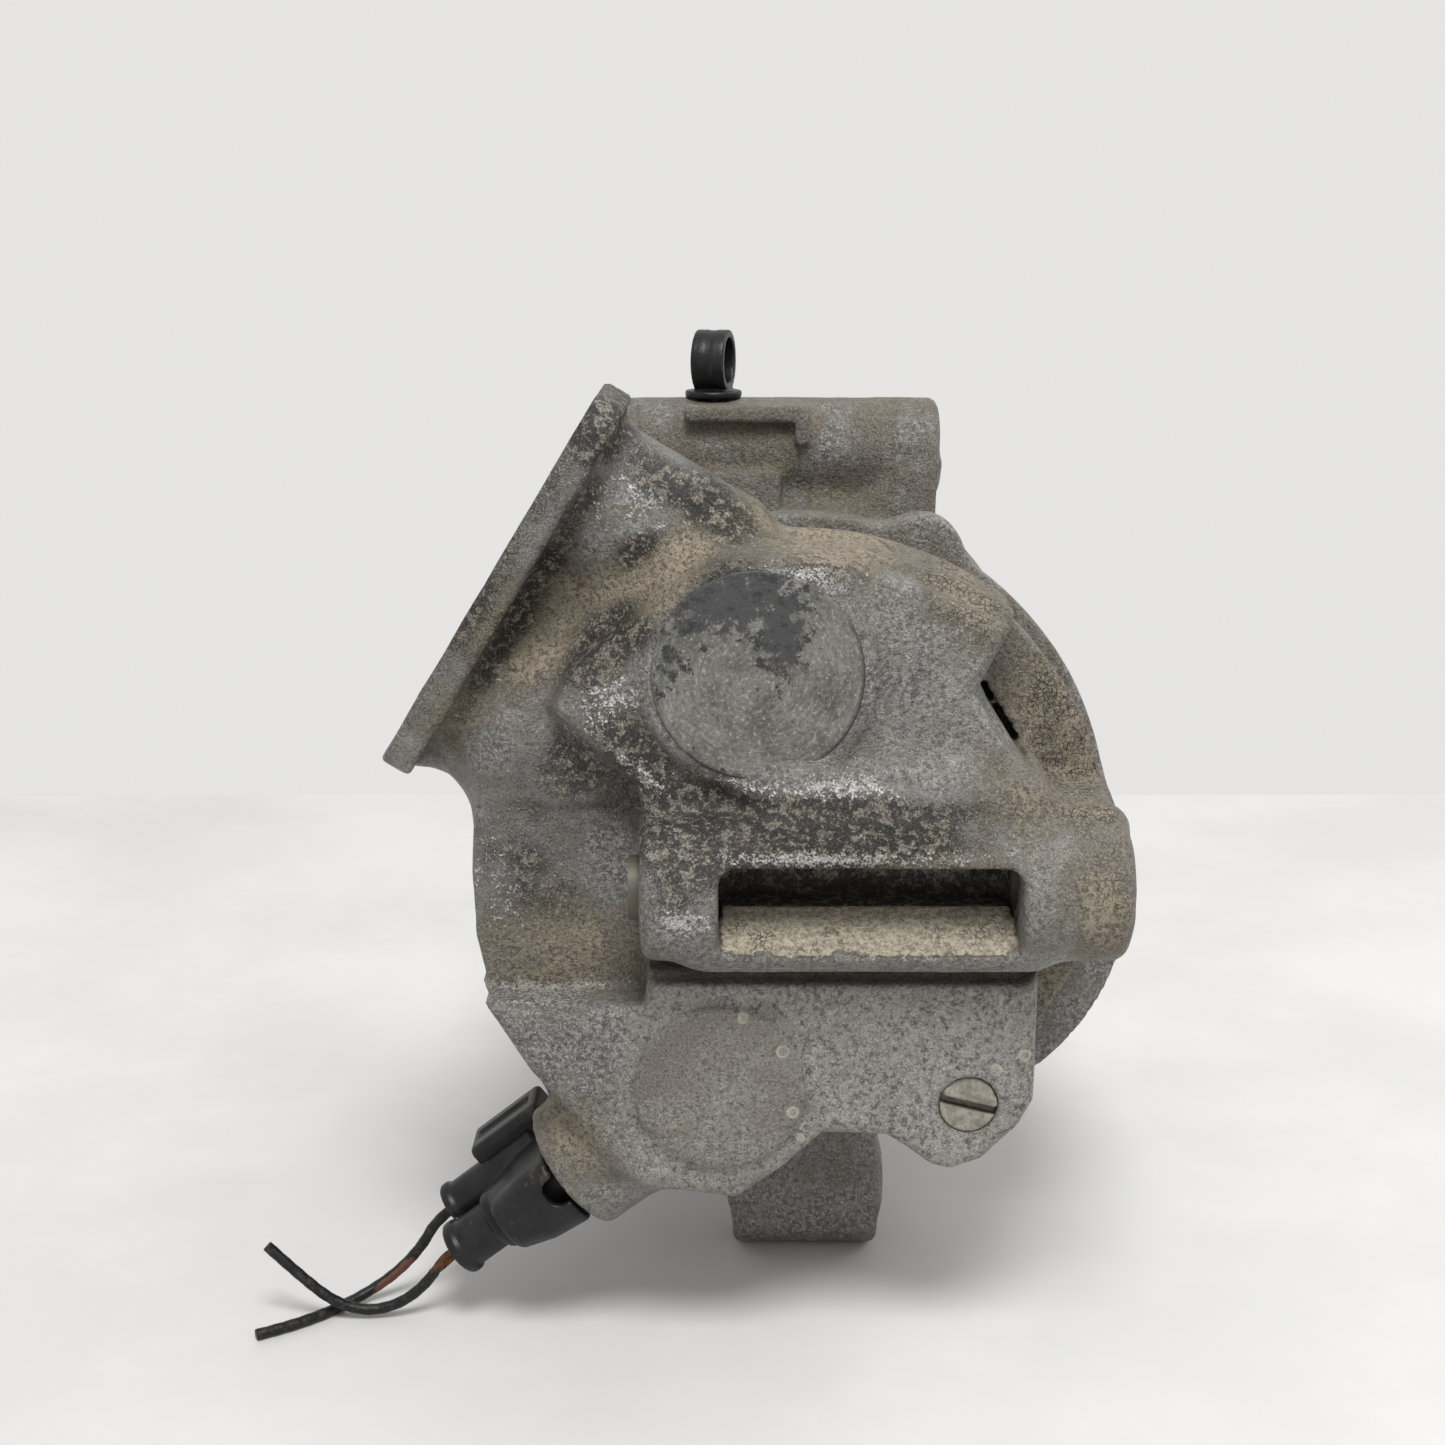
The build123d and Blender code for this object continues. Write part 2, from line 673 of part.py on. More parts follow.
with BuildPart() as valve_circlip:
    with BuildSketch(valve_plane(-4.6)):
        Circle(valve_bore - 0.05)
        Circle(7.0, mode=Mode.SUBTRACT)
        with Locations((7, 0)):
            Rectangle(8, 4, mode=Mode.SUBTRACT)
    extrude(amount=-1.3)
finish(valve_circlip.part, "valve_circlip")

with BuildPart() as valve_socket:
    with BuildSketch(valve_plane(-6)):
        Circle(6.6)
    extrude(amount=14)
    with BuildSketch(valve_plane(8)):
        Circle(5.4)
    extrude(amount=-8, mode=Mode.SUBTRACT)
finish(valve_socket.part, "valve_socket")

with BuildPart() as socket_pins:
    with BuildSketch(valve_plane(0)):
        with Locations((-2, 0), (2, 0)):
            Rectangle(0.6, 2.2)
    extrude(amount=6.5)
finish(socket_pins.part, "socket_pins")

tube_place = (0.0, 0.0)
second_tube = (-9.0, 5.0)
tube_end, second_end = 29.5, 28.0
with BuildPart() as plug_housing:
    with BuildSketch(valve_plane(0.6)):
        with Locations((-4.5, 0.5)):
            RectangleRounded(25, 16, 6)
    with BuildSketch(valve_plane(16)):
        with Locations((-4.5, 2.5)):
            RectangleRounded(20, 11.5, 5)
    loft()
    for place, end, radius in ((tube_place, tube_end, 5.1), (second_tube, second_end, 4.5)):
        with BuildSketch(valve_plane(12)):
            with Locations(place):
                Circle(radius)
        extrude(amount=end - 12)
        with BuildSketch(valve_plane(end)):
            with Locations(place):
                Circle(radius + 0.6)
        extrude(amount=-2.2)
        with BuildSketch(valve_plane(end)):
            with Locations(place):
                Circle(3.2)
        extrude(amount=-6, mode=Mode.SUBTRACT)
    with BuildSketch(valve_plane(0)):
        Circle(6.8)
    extrude(amount=9, mode=Mode.SUBTRACT)
finish(plug_housing.part, "plug_housing")

with BuildPart() as plug_lock:
    with BuildSketch(valve_plane(0.8)):
        with Locations((-13, 12.9)):
            RectangleRounded(12, 6.6, 2)
    extrude(amount=17)
finish(plug_lock.part, "plug_lock")

wire_radius = 1.1
with BuildPart() as wire_seals:
    for place, end in ((tube_place, tube_end), (second_tube, second_end)):
        with BuildSketch(valve_plane(end - 0.5)):
            with Locations(place):
                Circle(3.15)
        extrude(amount=-5.4)
finish(wire_seals.part, "wire_seals")


def on_valve(place, out):
    """Point at a place on the valve plane that stands a distance out."""
    return valve_plane(out).from_local_coords(Vector(place[0], place[1], 0))


def cord_path(points):
    """Radii of the arcs that join the runs of a cord, as large as the runs allow."""
    radii = []
    for before, here, after in zip(points, points[1:], points[2:]):
        first_run = here - before
        next_run = after - here
        half_turn = radians(first_run.get_angle(next_run)) / 2
        radii.append(0.45 * min(first_run.length, next_run.length) / tan(half_turn))
    return radii


floor_line = -96.35             # middle of a wire that lies on the standing surface
wire_routes = {
    "wire_a": [on_valve(tube_place, tube_end - 0.5), on_valve(tube_place, tube_end + 4.8), (-75.3, -163.0, -90.5),
               (-80.6, -163.2, -94.6), (-87.0, -163.6, -96.0), (-93.6, -164.0, -93.8),
               (-100.4, -164.2, -87.6), (-106.8, -163.6, -81.4)],
    "wire_b": [on_valve(second_tube, second_end - 0.5), on_valve(second_tube, second_end + 5), (-77.0, -154.4, -86.4),
               (-82.8, -155.0, -92.5), (-90.0, -157.8, floor_line + 0.1), (-96.3, -164.4, floor_line),
               (-102.5, -169.2, floor_line), (-107.9, -172.2, floor_line)],
}
for wire_name, route in wire_routes.items():
    points = [Vector(*point) for point in route]
    print(wire_name, "starts at", [tuple(round(value, 2) for value in point) for point in points[:2]])
    radii = cord_path(points)
    with BuildPart() as wire:
        with BuildLine() as wire_path:
            FilletPolyline(*points, radius=radii)
        start_direction = (points[1] - points[0]).normalized()
        with BuildSketch(Plane(origin=points[0], z_dir=start_direction)):
            Circle(wire_radius)
        sweep()
    print(wire_name, "radii", [round(radius, 1) for radius in radii])
    path_length = sum(edge.length for edge in wire_path.edges())
    print(wire_name, "length", round(path_length, 2), "volume over section times length",
          round(wire.part.volume / (pi * wire_radius**2 * path_length), 4))
    finish(wire.part, wire_name)

# ---- check valve in the discharge port ----
with BuildPart() as check_valve_cage:
    with BuildSketch(port_plane.offset(-30)):
        with Locations((discharge_at, 0)):
            Circle(discharge_inner - 0.05)
            Circle(6.2, mode=Mode.SUBTRACT)
    extrude(amount=-16)
    with BuildSketch(port_plane.offset(-30)):
        with Locations((discharge_at, 0)):
            Circle(discharge_inner - 0.05)
            Circle(3.0, mode=Mode.SUBTRACT)
    extrude(amount=-2)
finish(check_valve_cage.part, "check_valve_cage")
with BuildPart() as check_valve_cup:
    with BuildSketch(port_plane.offset(-38)):
        with Locations((discharge_at, 0)):
            Circle(6.1)
    extrude(amount=-7)
    with BuildSketch(port_plane.offset(-38)):
        with Locations((discharge_at, 0)):
            Circle(4.6)
    extrude(amount=-5.5, mode=Mode.SUBTRACT)
finish(check_valve_cup.part, "check_valve_cup")

# ---- split steel bushes in the rear lug, and the cable clip on the top tube ----
bush_overhang = 1.6
with BuildPart() as rear_lug_bushes:
    for start, end in ((lug_left - bush_overhang, window_left), (window_right, lug_right)):
        with BuildSketch(Plane.YZ.offset(start)):
            with Locations((lug_y, lug_z)):
                Circle(bush_radius)
                Circle(lug_hole, mode=Mode.SUBTRACT)
                with Locations((0, bush_radius - 1)):
                    Rectangle(0.8, 3, mode=Mode.SUBTRACT)
        extrude(amount=end - start)
finish(rear_lug_bushes.part, "rear_lug_bushes")

clip_ring_radius = 6.6
clip_base = clip_seat + 0.1
with BuildPart() as cable_clip:
    with BuildSketch(Plane.XY.offset(clip_base)):
        with Locations((clip_x, top_lug[0])):
            Circle(6.0)
    extrude(amount=1.4)
    with BuildSketch(Plane.XY.offset(clip_base)):
        with Locations((clip_x, top_lug[0])):
            Circle(2.3)
    extrude(amount=-4)
    with BuildSketch(Plane.YZ.offset(clip_x - 4)):
        with Locations((top_lug[0], clip_base + 1 + clip_ring_radius)):
            Circle(clip_ring_radius)
            Circle(clip_ring_radius - 1.8, mode=Mode.SUBTRACT)
    extrude(amount=8)
finish(cable_clip.part, "cable_clip")
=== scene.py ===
# %% [markdown]
# This lesson dresses a car's air-conditioning compressor. The CAD model gives every piece its
# size and place, and each cell below adds a visible skin or a finish. The compressor has cast
# aluminium housings, full of road dirt, and those are what a viewer sees first.

import json
import math

import bpy
import numpy as np
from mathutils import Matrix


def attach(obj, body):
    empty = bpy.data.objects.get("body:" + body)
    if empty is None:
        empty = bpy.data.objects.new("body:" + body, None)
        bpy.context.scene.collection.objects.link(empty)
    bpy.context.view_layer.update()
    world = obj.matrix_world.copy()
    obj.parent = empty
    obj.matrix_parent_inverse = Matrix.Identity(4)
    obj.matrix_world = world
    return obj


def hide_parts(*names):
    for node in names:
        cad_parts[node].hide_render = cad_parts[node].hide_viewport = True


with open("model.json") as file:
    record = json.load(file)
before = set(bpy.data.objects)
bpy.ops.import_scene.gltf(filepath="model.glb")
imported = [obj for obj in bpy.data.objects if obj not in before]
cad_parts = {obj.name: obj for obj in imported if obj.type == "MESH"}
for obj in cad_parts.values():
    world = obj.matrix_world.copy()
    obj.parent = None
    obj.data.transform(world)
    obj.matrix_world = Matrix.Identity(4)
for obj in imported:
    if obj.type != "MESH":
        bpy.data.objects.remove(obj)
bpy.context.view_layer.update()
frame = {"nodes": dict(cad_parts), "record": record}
nodes = frame["nodes"]
MM = 0.001

# %% [markdown]
# The camera stands behind the compressor, a little above it, and looks slightly down. A long
# lens from half a metre keeps the round housing round. The floor touches the lowest lug.

# %% Camera
camera_data = bpy.data.cameras.new("camera")
camera_data.sensor_width = 36.0
camera_data.lens = 52.3
camera_data.clip_start = 0.01
camera = bpy.data.objects.new("camera", camera_data)
camera.location = (-0.0148, -0.5513, 0.1204)
camera.rotation_euler = (math.radians(76.5), 0, 0)
bpy.context.scene.collection.objects.link(camera)
bpy.context.scene.camera = camera
bpy.context.scene.view_settings.view_transform = "Standard"
print("camera height over the shaft:", camera.location.z)

# %% [markdown]
# Node trees get long when every link is written out. One small class wraps an output socket
# and turns + - * into Math nodes, and one method makes any other node, so that a finish reads
# as a few lines of arithmetic.


# %% A small language for materials
class Flow:
    """One output socket in a node tree. Arithmetic on it adds Math nodes."""

    def __init__(self, finish, socket):
        self.finish, self.socket = finish, socket

    def math(self, operation, *others):
        return self.finish.node("ShaderNodeMath", {"operation": operation}, self, *others)

    def __add__(self, other):
        return self.math("ADD", other)

    def __sub__(self, other):
        return self.math("SUBTRACT", other)

    def __rsub__(self, other):
        return self.finish.node("ShaderNodeMath", {"operation": "SUBTRACT"}, other, self)

    def __mul__(self, other):
        return self.math("MULTIPLY", other)

    __radd__, __rmul__ = __add__, __mul__

    def step(self, low, high):
        """0 below low, 1 above high, and a smooth ramp between."""
        return self.finish.node("ShaderNodeMapRange", {"interpolation_type": "SMOOTHSTEP"},
                                self, low, high)


class Finish:
    """A material: node() adds any node, and surface() feeds the Principled shader."""

    def __init__(self, name):
        self.material = bpy.data.materials.new(name)
        self.material.use_nodes = True
        self.tree = self.material.node_tree
        self.tree.nodes.clear()
        self.shader = self.tree.nodes.new("ShaderNodeBsdfPrincipled")
        output = self.tree.nodes.new("ShaderNodeOutputMaterial")
        self.tree.links.new(self.shader.outputs[0], output.inputs["Surface"])
        self.place = self.node("ShaderNodeTexCoord", out="Object")

    def plug(self, socket, value):
        if isinstance(value, Flow):
            self.tree.links.new(value.socket, socket)
        elif isinstance(value, tuple) and len(value) == 3 and socket.type == "RGBA":
            socket.default_value = (*value, 1)
        else:
            socket.default_value = value

    def node(self, kind, settings=None, *values, out=0, **named):
        """Makes a node: settings first, then the values or links of its sockets."""
        made = self.tree.nodes.new(kind)
        for name, value in (settings or {}).items():
            setattr(made, name, value)
        for socket, value in zip(made.inputs, values):
            self.plug(socket, value)
        for name, value in named.items():
            self.plug(made.inputs[name.replace("_", " ")], value)
        return Flow(self, made.outputs[out])

    def noise(self, per_metre, detail=3.0, rough=0.55, vector=None):
        """Cloudy values around 0.5, with about this many lumps to a metre."""
        return self.node("ShaderNodeTexNoise", {"noise_dimensions": "3D"},
                         Vector=vector or self.place, Scale=per_metre, Detail=detail,
                         Roughness=rough)

    def colour(self, factor, first, second):
        """The first colour where factor is 0, the second where it is 1."""
        made = self.tree.nodes.new("ShaderNodeMix")
        made.data_type = "RGBA"
        for name, value in (("Factor_Float", factor), ("A_Color", first), ("B_Color", second)):
            self.plug(next(s for s in made.inputs if s.identifier == name), value)
        return Flow(self, next(s for s in made.outputs if s.identifier == "Result_Color"))

    def mask(self, name):
        """A number painted on the vertices of the piece."""
        return self.node("ShaderNodeAttribute", {"attribute_name": name}, out="Fac")

    def bump(self, height, depth, strength=1.0):
        return self.node("ShaderNodeBump", Height=height, Distance=depth, Strength=strength)

    def surface(self, **values):
        """Feeds the shader's sockets, with _ for a space in their names, and hands it over."""
        for name, value in values.items():
            self.plug(self.shader.inputs[name.replace("_", " ")], value)
        return self.material


print("finishes are written as sums of Flow values")

# %% [markdown]
# The stage is a plain pale floor that ends a hand's width behind the compressor, against a
# pale sky of even light. The far edge of the floor makes the soft line that a wall would make,
# and nothing stands in the way when the camera walks round.

# %% Floor, light and sky
FLOOR = -0.0975
FLOOR_SIDE, FLOOR_FAR = 2500, 236    # mm from the shaft


def add_mesh(name, points, *face_groups):
    """Mesh object from points in millimetres and arrays of quads or triangles."""
    data = bpy.data.meshes.new(name)
    faces = [face for group in face_groups for face in np.asarray(group).tolist()]
    data.from_pydata(np.asarray(points, float) * MM, [], faces)
    data.polygons.foreach_set("use_smooth", np.ones(len(faces), bool))
    data.update()
    made = bpy.data.objects.new(name, data)
    bpy.context.scene.collection.objects.link(made)
    return made


floor_corners = [(-FLOOR_SIDE, -FLOOR_SIDE), (FLOOR_SIDE, -FLOOR_SIDE),
                 (FLOOR_SIDE, FLOOR_FAR), (-FLOOR_SIDE, FLOOR_FAR)]
floor = add_mesh("floor", np.c_[floor_corners, np.full(4, FLOOR / MM)], [(0, 1, 2, 3)])
pale = Finish("pale_floor")
veins = pale.noise(9.0, 6.0, 0.6)
floor.data.materials.append(pale.surface(
    Base_Color=pale.colour(veins.step(0.35, 0.65), (0.555, 0.553, 0.543), (0.615, 0.611, 0.60)),
    Roughness=veins * 0.2 + 0.35))

world = bpy.data.worlds.new("pale_room")
world.use_nodes = True
sky = world.node_tree.nodes["Background"]
sky.inputs["Color"].default_value = (0.785, 0.78, 0.77, 1)
sky.inputs["Strength"].default_value = 1.0
bpy.context.scene.world = world


def soft_light(name, place, aim, size, power):
    """A round area light, turned by its polar angles so that it looks at the aim."""
    data = bpy.data.lights.new(name, "AREA")
    data.shape, data.size, data.energy = "DISK", size, power
    lamp = bpy.data.objects.new(name, data)
    lamp.location = place
    direction = np.array(aim) - np.array(place)
    flat = math.hypot(direction[0], direction[1])
    lamp.rotation_euler = (math.atan2(flat, -direction[2]), 0,
                           math.atan2(direction[1], direction[0]) - math.pi / 2)
    bpy.context.scene.collection.objects.link(lamp)


soft_light("key", (0.05, -0.80, 1.12), (0, -0.15, 0), 0.5, 16)
soft_light("fill", (0.9, 0.2, 0.9), (0, -0.1, 0), 0.8, 4)
print("floor at", FLOOR)

# %% [markdown]
# Two cut-off wires leave the electrical plug. A wire could be a bevelled curve, but then its
# skin couldn't be worn or bare in places. So each is one smooth NURBS line steered by a handful
# of points, and its skin is a tube of vertices that follows the points read from that line. One
# wire has lost its insulation next to the plug, so its tube starts thin and copper.

# %% The two wires
wire_routes = {
    "wire_a": [(-0.06765, -0.1630, -0.08205), (-0.07183, -0.1630, -0.08532),
               (-0.0753, -0.1630, -0.0905), (-0.0806, -0.1632, -0.0946),
               (-0.0870, -0.1636, -0.0960), (-0.0936, -0.1640, -0.0938),
               (-0.1004, -0.1642, -0.0876), (-0.1068, -0.1636, -0.0814)],
    "wire_b": [(-0.06955, -0.1540, -0.07719), (-0.07388, -0.1540, -0.08058),
               (-0.0770, -0.1544, -0.0864), (-0.0828, -0.1550, -0.0925),
               (-0.0900, -0.1578, -0.09625), (-0.0963, -0.1644, -0.09635),
               (-0.1025, -0.1692, -0.09635), (-0.1079, -0.1722, -0.09635)]}
WIRE = 1.1                # mm, radius over the insulation
AROUND = 24               # vertices round a wire
STEPS = 220               # rings along a wire


def wire_line(name):
    """Points in mm, read from the wire's NURBS line."""
    curve = bpy.data.curves.new(name + "_line", "CURVE")
    curve.dimensions = "3D"
    curve.resolution_u = 12
    route = wire_routes[name]
    spline = curve.splines.new("NURBS")
    spline.points.add(len(route) - 1)
    spline.points.foreach_set("co", np.c_[route, np.ones(len(route))].ravel())
    spline.order_u = 3
    spline.use_endpoint_u = True
    holder = bpy.data.objects.new(name + "_line", curve)
    bpy.context.scene.collection.objects.link(holder)
    bpy.context.view_layer.update()
    line = bpy.data.meshes.new_from_object(
        holder.evaluated_get(bpy.context.evaluated_depsgraph_get()))
    read = np.zeros(len(line.vertices) * 3)
    line.vertices.foreach_get("co", read)
    bpy.data.objects.remove(holder)
    return read.reshape(-1, 3) / MM


def run_along(path):
    """Distance from the start at each point of a path."""
    return np.r_[0, np.cumsum(np.linalg.norm(np.diff(path, axis=0), axis=1))]


def across(path):
    """Two unit vectors square to the path at each point: side is level, rise completes them."""
    ahead = np.gradient(path, axis=0)
    ahead /= np.linalg.norm(ahead, axis=1)[:, None]
    side = np.cross(ahead, (0, 1, 0))
    side /= np.linalg.norm(side, axis=1)[:, None]
    return side, np.cross(side, ahead)


def outwards(path, angle):
    """Direction at each path point and angle a: cos a times side plus sin a times rise."""
    side, rise = across(path)
    angle = angle[None, :, None]
    return np.cos(angle) * side[:, None] + np.sin(angle) * rise[:, None]


def tube(name, path, radius, angle):
    """Each vertex is a path point plus the radius there times the outward direction."""
    around = len(angle)
    rings = path[:, None] + radius[..., None] * outwards(path, angle)
    points = np.r_[rings.reshape(-1, 3), path[:1], path[-1:]]
    row, turn = np.meshgrid(np.arange(len(path) - 1), np.arange(around), indexing="ij")
    here, there = row * around + turn, row * around + (turn + 1) % around
    quads = np.stack([here, here + around, there + around, there], -1).reshape(-1, 4)
    first = np.arange(around)
    last = first + (len(path) - 1) * around
    start_cap = np.c_[np.full(around, len(points) - 2), first, np.roll(first, -1)]
    end_cap = np.c_[np.full(around, len(points) - 1), np.roll(last, -1), last]
    return add_mesh(name, points, quads, start_cap, end_cap)


def paint(piece, name, values):
    """Stores one number per vertex, for a material to read."""
    layer = piece.data.attributes.new(name, "FLOAT", "POINT")
    layer.data.foreach_set("value", np.asarray(values, np.float32))


wires, wire_paths = {}, {}
angle = np.linspace(0, 2 * np.pi, AROUND, endpoint=False)
for name in wire_routes:
    path = wire_line(name)
    run = run_along(path)
    even = np.linspace(0, run[-1], STEPS)
    path = np.stack([np.interp(even, run, path[:, k]) for k in range(3)], -1)
    down_run = even[:, None]
    worn = (0.05 * np.sin(down_run * 1.9 + np.sin(angle * 2))
            + 0.02 * np.sin(down_run * 5.3))
    bare, red = np.zeros((STEPS, AROUND)), np.zeros((STEPS, AROUND))
    if name == "wire_a":    # bare up to a ragged edge about 7.4 mm from the plug
        ragged = 7.4 + 1.5 * np.sin(angle * 2 + 1) + 0.8 * np.sin(angle * 5)
        bare = 1 / (1 + np.exp((down_run - ragged) * 6))
    else:                   # rubbed red on its rear side, and underneath near its end
        out = outwards(path, angle)
        to_rear, to_floor = -out[..., 1], -out[..., 2]
        stretch = np.clip(np.minimum(even - 13, 27 - even) / 4, 0, 1)[:, None]
        red = stretch * np.clip(to_rear * 1.4 + to_floor * 0.5 - 0.3, 0, 1)
        near_end = (down_run > 30) * np.clip(to_floor * 1.5 - 0.3, 0, 1) * 0.55
        red = np.maximum(red, near_end)
    radius = WIRE * (1 + 0.6 * worn) * (1 - 0.35 * bare)
    wires[name], wire_paths[name] = tube(name + "_skin", path, radius, angle), path
    paint(wires[name], "bare", np.r_[bare.ravel(), bare[0, 0], name == "wire_b"])
    paint(wires[name], "red", np.r_[red.ravel(), 0, 0])
    print(name, "length", round(float(run[-1]), 2), "mm")

# %% [markdown]
# The bare stretch of wire A shows its copper strands, loose and frayed. Each strand is a thin
# five-sided tube round a helix, and all forty are worked out at once as one array.

# %% Copper strands
STRAND = 0.11             # mm, radius of a strand
STRANDS, STRAND_SIDES, STRAND_RINGS = 40, 5, 38
bare_path = wire_paths["wire_a"][:STRAND_RINGS]
side, rise = across(bare_path)
along = np.linspace(0, 1, STRAND_RINGS)[None]
spread = 0.25 + 0.6 * np.random.default_rng(4).random(STRANDS)[:, None]
reach = 0.55 + 0.75 * spread * np.sin(np.pi * np.clip(along * 0.8 + 0.15, 0, 1))
twist = 2.4 * np.arange(STRANDS)[:, None] + 1.6 * along
lines = bare_path + reach[..., None] * (np.cos(twist)[..., None] * side
                                        + np.sin(twist)[..., None] * rise)
corner = np.linspace(0, 2 * np.pi, STRAND_SIDES, endpoint=False)
rings = lines[:, :, None] + STRAND * (np.cos(corner)[:, None] * side[:, None]
                                      + np.sin(corner)[:, None] * rise[:, None])
strand, ring, turn = np.meshgrid(np.arange(STRANDS), np.arange(STRAND_RINGS - 1),
                                 np.arange(STRAND_SIDES), indexing="ij")
row = (strand * STRAND_RINGS + ring) * STRAND_SIDES
here, there = row + turn, row + (turn + 1) % STRAND_SIDES
quads = np.stack([here, here + STRAND_SIDES, there + STRAND_SIDES, there], -1).reshape(-1, 4)
first_ring = (np.arange(STRANDS) * STRAND_RINGS * STRAND_SIDES)[:, None] + np.arange(STRAND_SIDES)
last_ring = first_ring + (STRAND_RINGS - 1) * STRAND_SIDES
strands = add_mesh("copper_strands", rings.reshape(-1, 3), quads, first_ring, last_ring[:, ::-1])
print("strands:", STRANDS)

# %% [markdown]
# The insulation is black rubber that has gone dusty and cracked, with a reddish stretch where
# it has been rubbed thin. One finish serves both wires: the numbers painted on the tubes say
# where it turns red or gives way to copper. The strands get dull copper with dark tarnish.

# %% Finishes of the wires
rubber = Finish("wire_rubber")
dust = rubber.noise(700, 5).step(0.5, 0.75)
bared = rubber.mask("bare").step(0.35, 0.65)
reddish = (rubber.mask("red") + rubber.noise(900, 4) * 0.6 - 0.3).step(0.3, 0.6)
skin = rubber.colour(dust * 0.5, (0.006, 0.006, 0.006), (0.07, 0.066, 0.058))
skin = rubber.colour(reddish, skin, (0.105, 0.040, 0.025))
skin = rubber.colour(bared, skin, (0.07, 0.032, 0.018))
scuffs = rubber.noise(1600, 4)
wire_finish = rubber.surface(
    Base_Color=skin, Specular_IOR_Level=0.3, Roughness=dust * 0.3 + 0.42,
    Metallic=bared * 0.7, Normal=rubber.bump(scuffs, 0.00012))
copper = Finish("old_copper")
tarnish = copper.noise(900, 4)
copper_finish = copper.surface(
    Base_Color=copper.colour(tarnish.step(0.35, 0.7), (0.20, 0.088, 0.042), (0.035, 0.018, 0.012)),
    Metallic=0.85, Roughness=tarnish * 0.3 + 0.3)
strands.data.materials.append(copper_finish)
print("wire finishes:", wire_finish.name, copper_finish.name)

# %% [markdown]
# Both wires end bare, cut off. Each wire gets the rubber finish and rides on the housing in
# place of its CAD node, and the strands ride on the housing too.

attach(strands, "housing")
for name, slot, pieces in (("wire_a", "wire_black", [strands]), ("wire_b", "wire_brown", [])):
    wire, path = wires[name], wire_paths[name]
    wire.data.materials.append(wire_finish)
    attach(wire, "housing")
    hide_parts(name)

# %% [markdown]
# The housings are castings: tubes, bosses and plates that run into each other with soft
# fillets everywhere. Lofts and bevels would fight those junctions. A distance field doesn't:
# each feature is a formula for the distance to its surface, and a smooth minimum melts the
# features together. The zero level is then turned into a mesh.


# %% Distances, in millimetres
def melt(a, b, reach):
    """Smooth union: the smaller distance, lowered by overlap squared where both are near."""
    near = np.maximum(reach - np.abs(a - b), 0) / reach
    return np.minimum(a, b) - near * near * reach * 0.25


def carve(a, b, reach):
    """Smooth cut: b is taken out of a, with an edge rounded by reach."""
    return -melt(-a, b, reach)


def disc(u, v, centre, radius):
    """Distance to a circle: how far away the centre is, less the radius."""
    return np.hypot(u - centre[0], v - centre[1]) - radius


def joined(a, b):
    """Distance outside two walls at a right angle: hypotenuse outside both, else the larger."""
    return np.hypot(np.maximum(a, 0), np.maximum(b, 0)) + np.minimum(np.maximum(a, b), 0)


def polygon(u, v, corners):
    """Distance to the nearest edge, negative inside the outline."""
    best, inside = np.inf, False
    for (au, av), (bu, bv) in zip(corners, corners[1:] + corners[:1]):
        du, dv = bu - au, bv - av
        t = np.clip(((u - au) * du + (v - av) * dv) / (du * du + dv * dv), 0, 1)
        best = np.minimum(best, (u - au - t * du) ** 2 + (v - av - t * dv) ** 2)
        crosses = ((av <= v) != (bv <= v)) & (u < au + (v - av) * du / (dv if dv else 1e-9))
        inside = np.logical_xor(inside, crosses)
    return np.where(inside, -1, 1) * np.sqrt(best)


def rectangle(u, v, low, high, corner=0.0):
    """Distance to a rectangle, shrunk by the corner radius and then grown by it again."""
    du = np.maximum(low[0] - u, u - high[0]) + corner
    dv = np.maximum(low[1] - v, v - high[1]) + corner
    return joined(du, dv) - corner


def thick(flat, along, start, end, edge=0.5):
    """A flat outline given thickness from start to end, its rims rounded by edge."""
    return joined(flat + edge, np.maximum(start - along, along - end) + edge) - edge


print("a disc of radius 2 is", disc(3, 0, (0, 0), 2), "mm from a point 3 mm out")


# %% [markdown]
# A field could be meshed by marching cubes, but that leaves thin triangles. Surface nets give
# quads: every grid cell that the surface crosses gets one vertex, at the mean of its edge
# crossings, and every crossed grid edge joins four cells. Three Newton steps then pull each
# vertex onto the true surface, so the grid leaves no steps. Low lumps give the cast skin.


# %% From field to mesh
def slope(field, points, gap=0.2):
    """Gradient of the field at each point, by central differences."""
    found = np.empty_like(points)
    for axis in range(3):
        ahead, behind = points.copy(), points.copy()
        ahead[:, axis] += gap
        behind[:, axis] -= gap
        found[:, axis] = (field(*ahead.T) - field(*behind.T)) / (2 * gap)
    return found


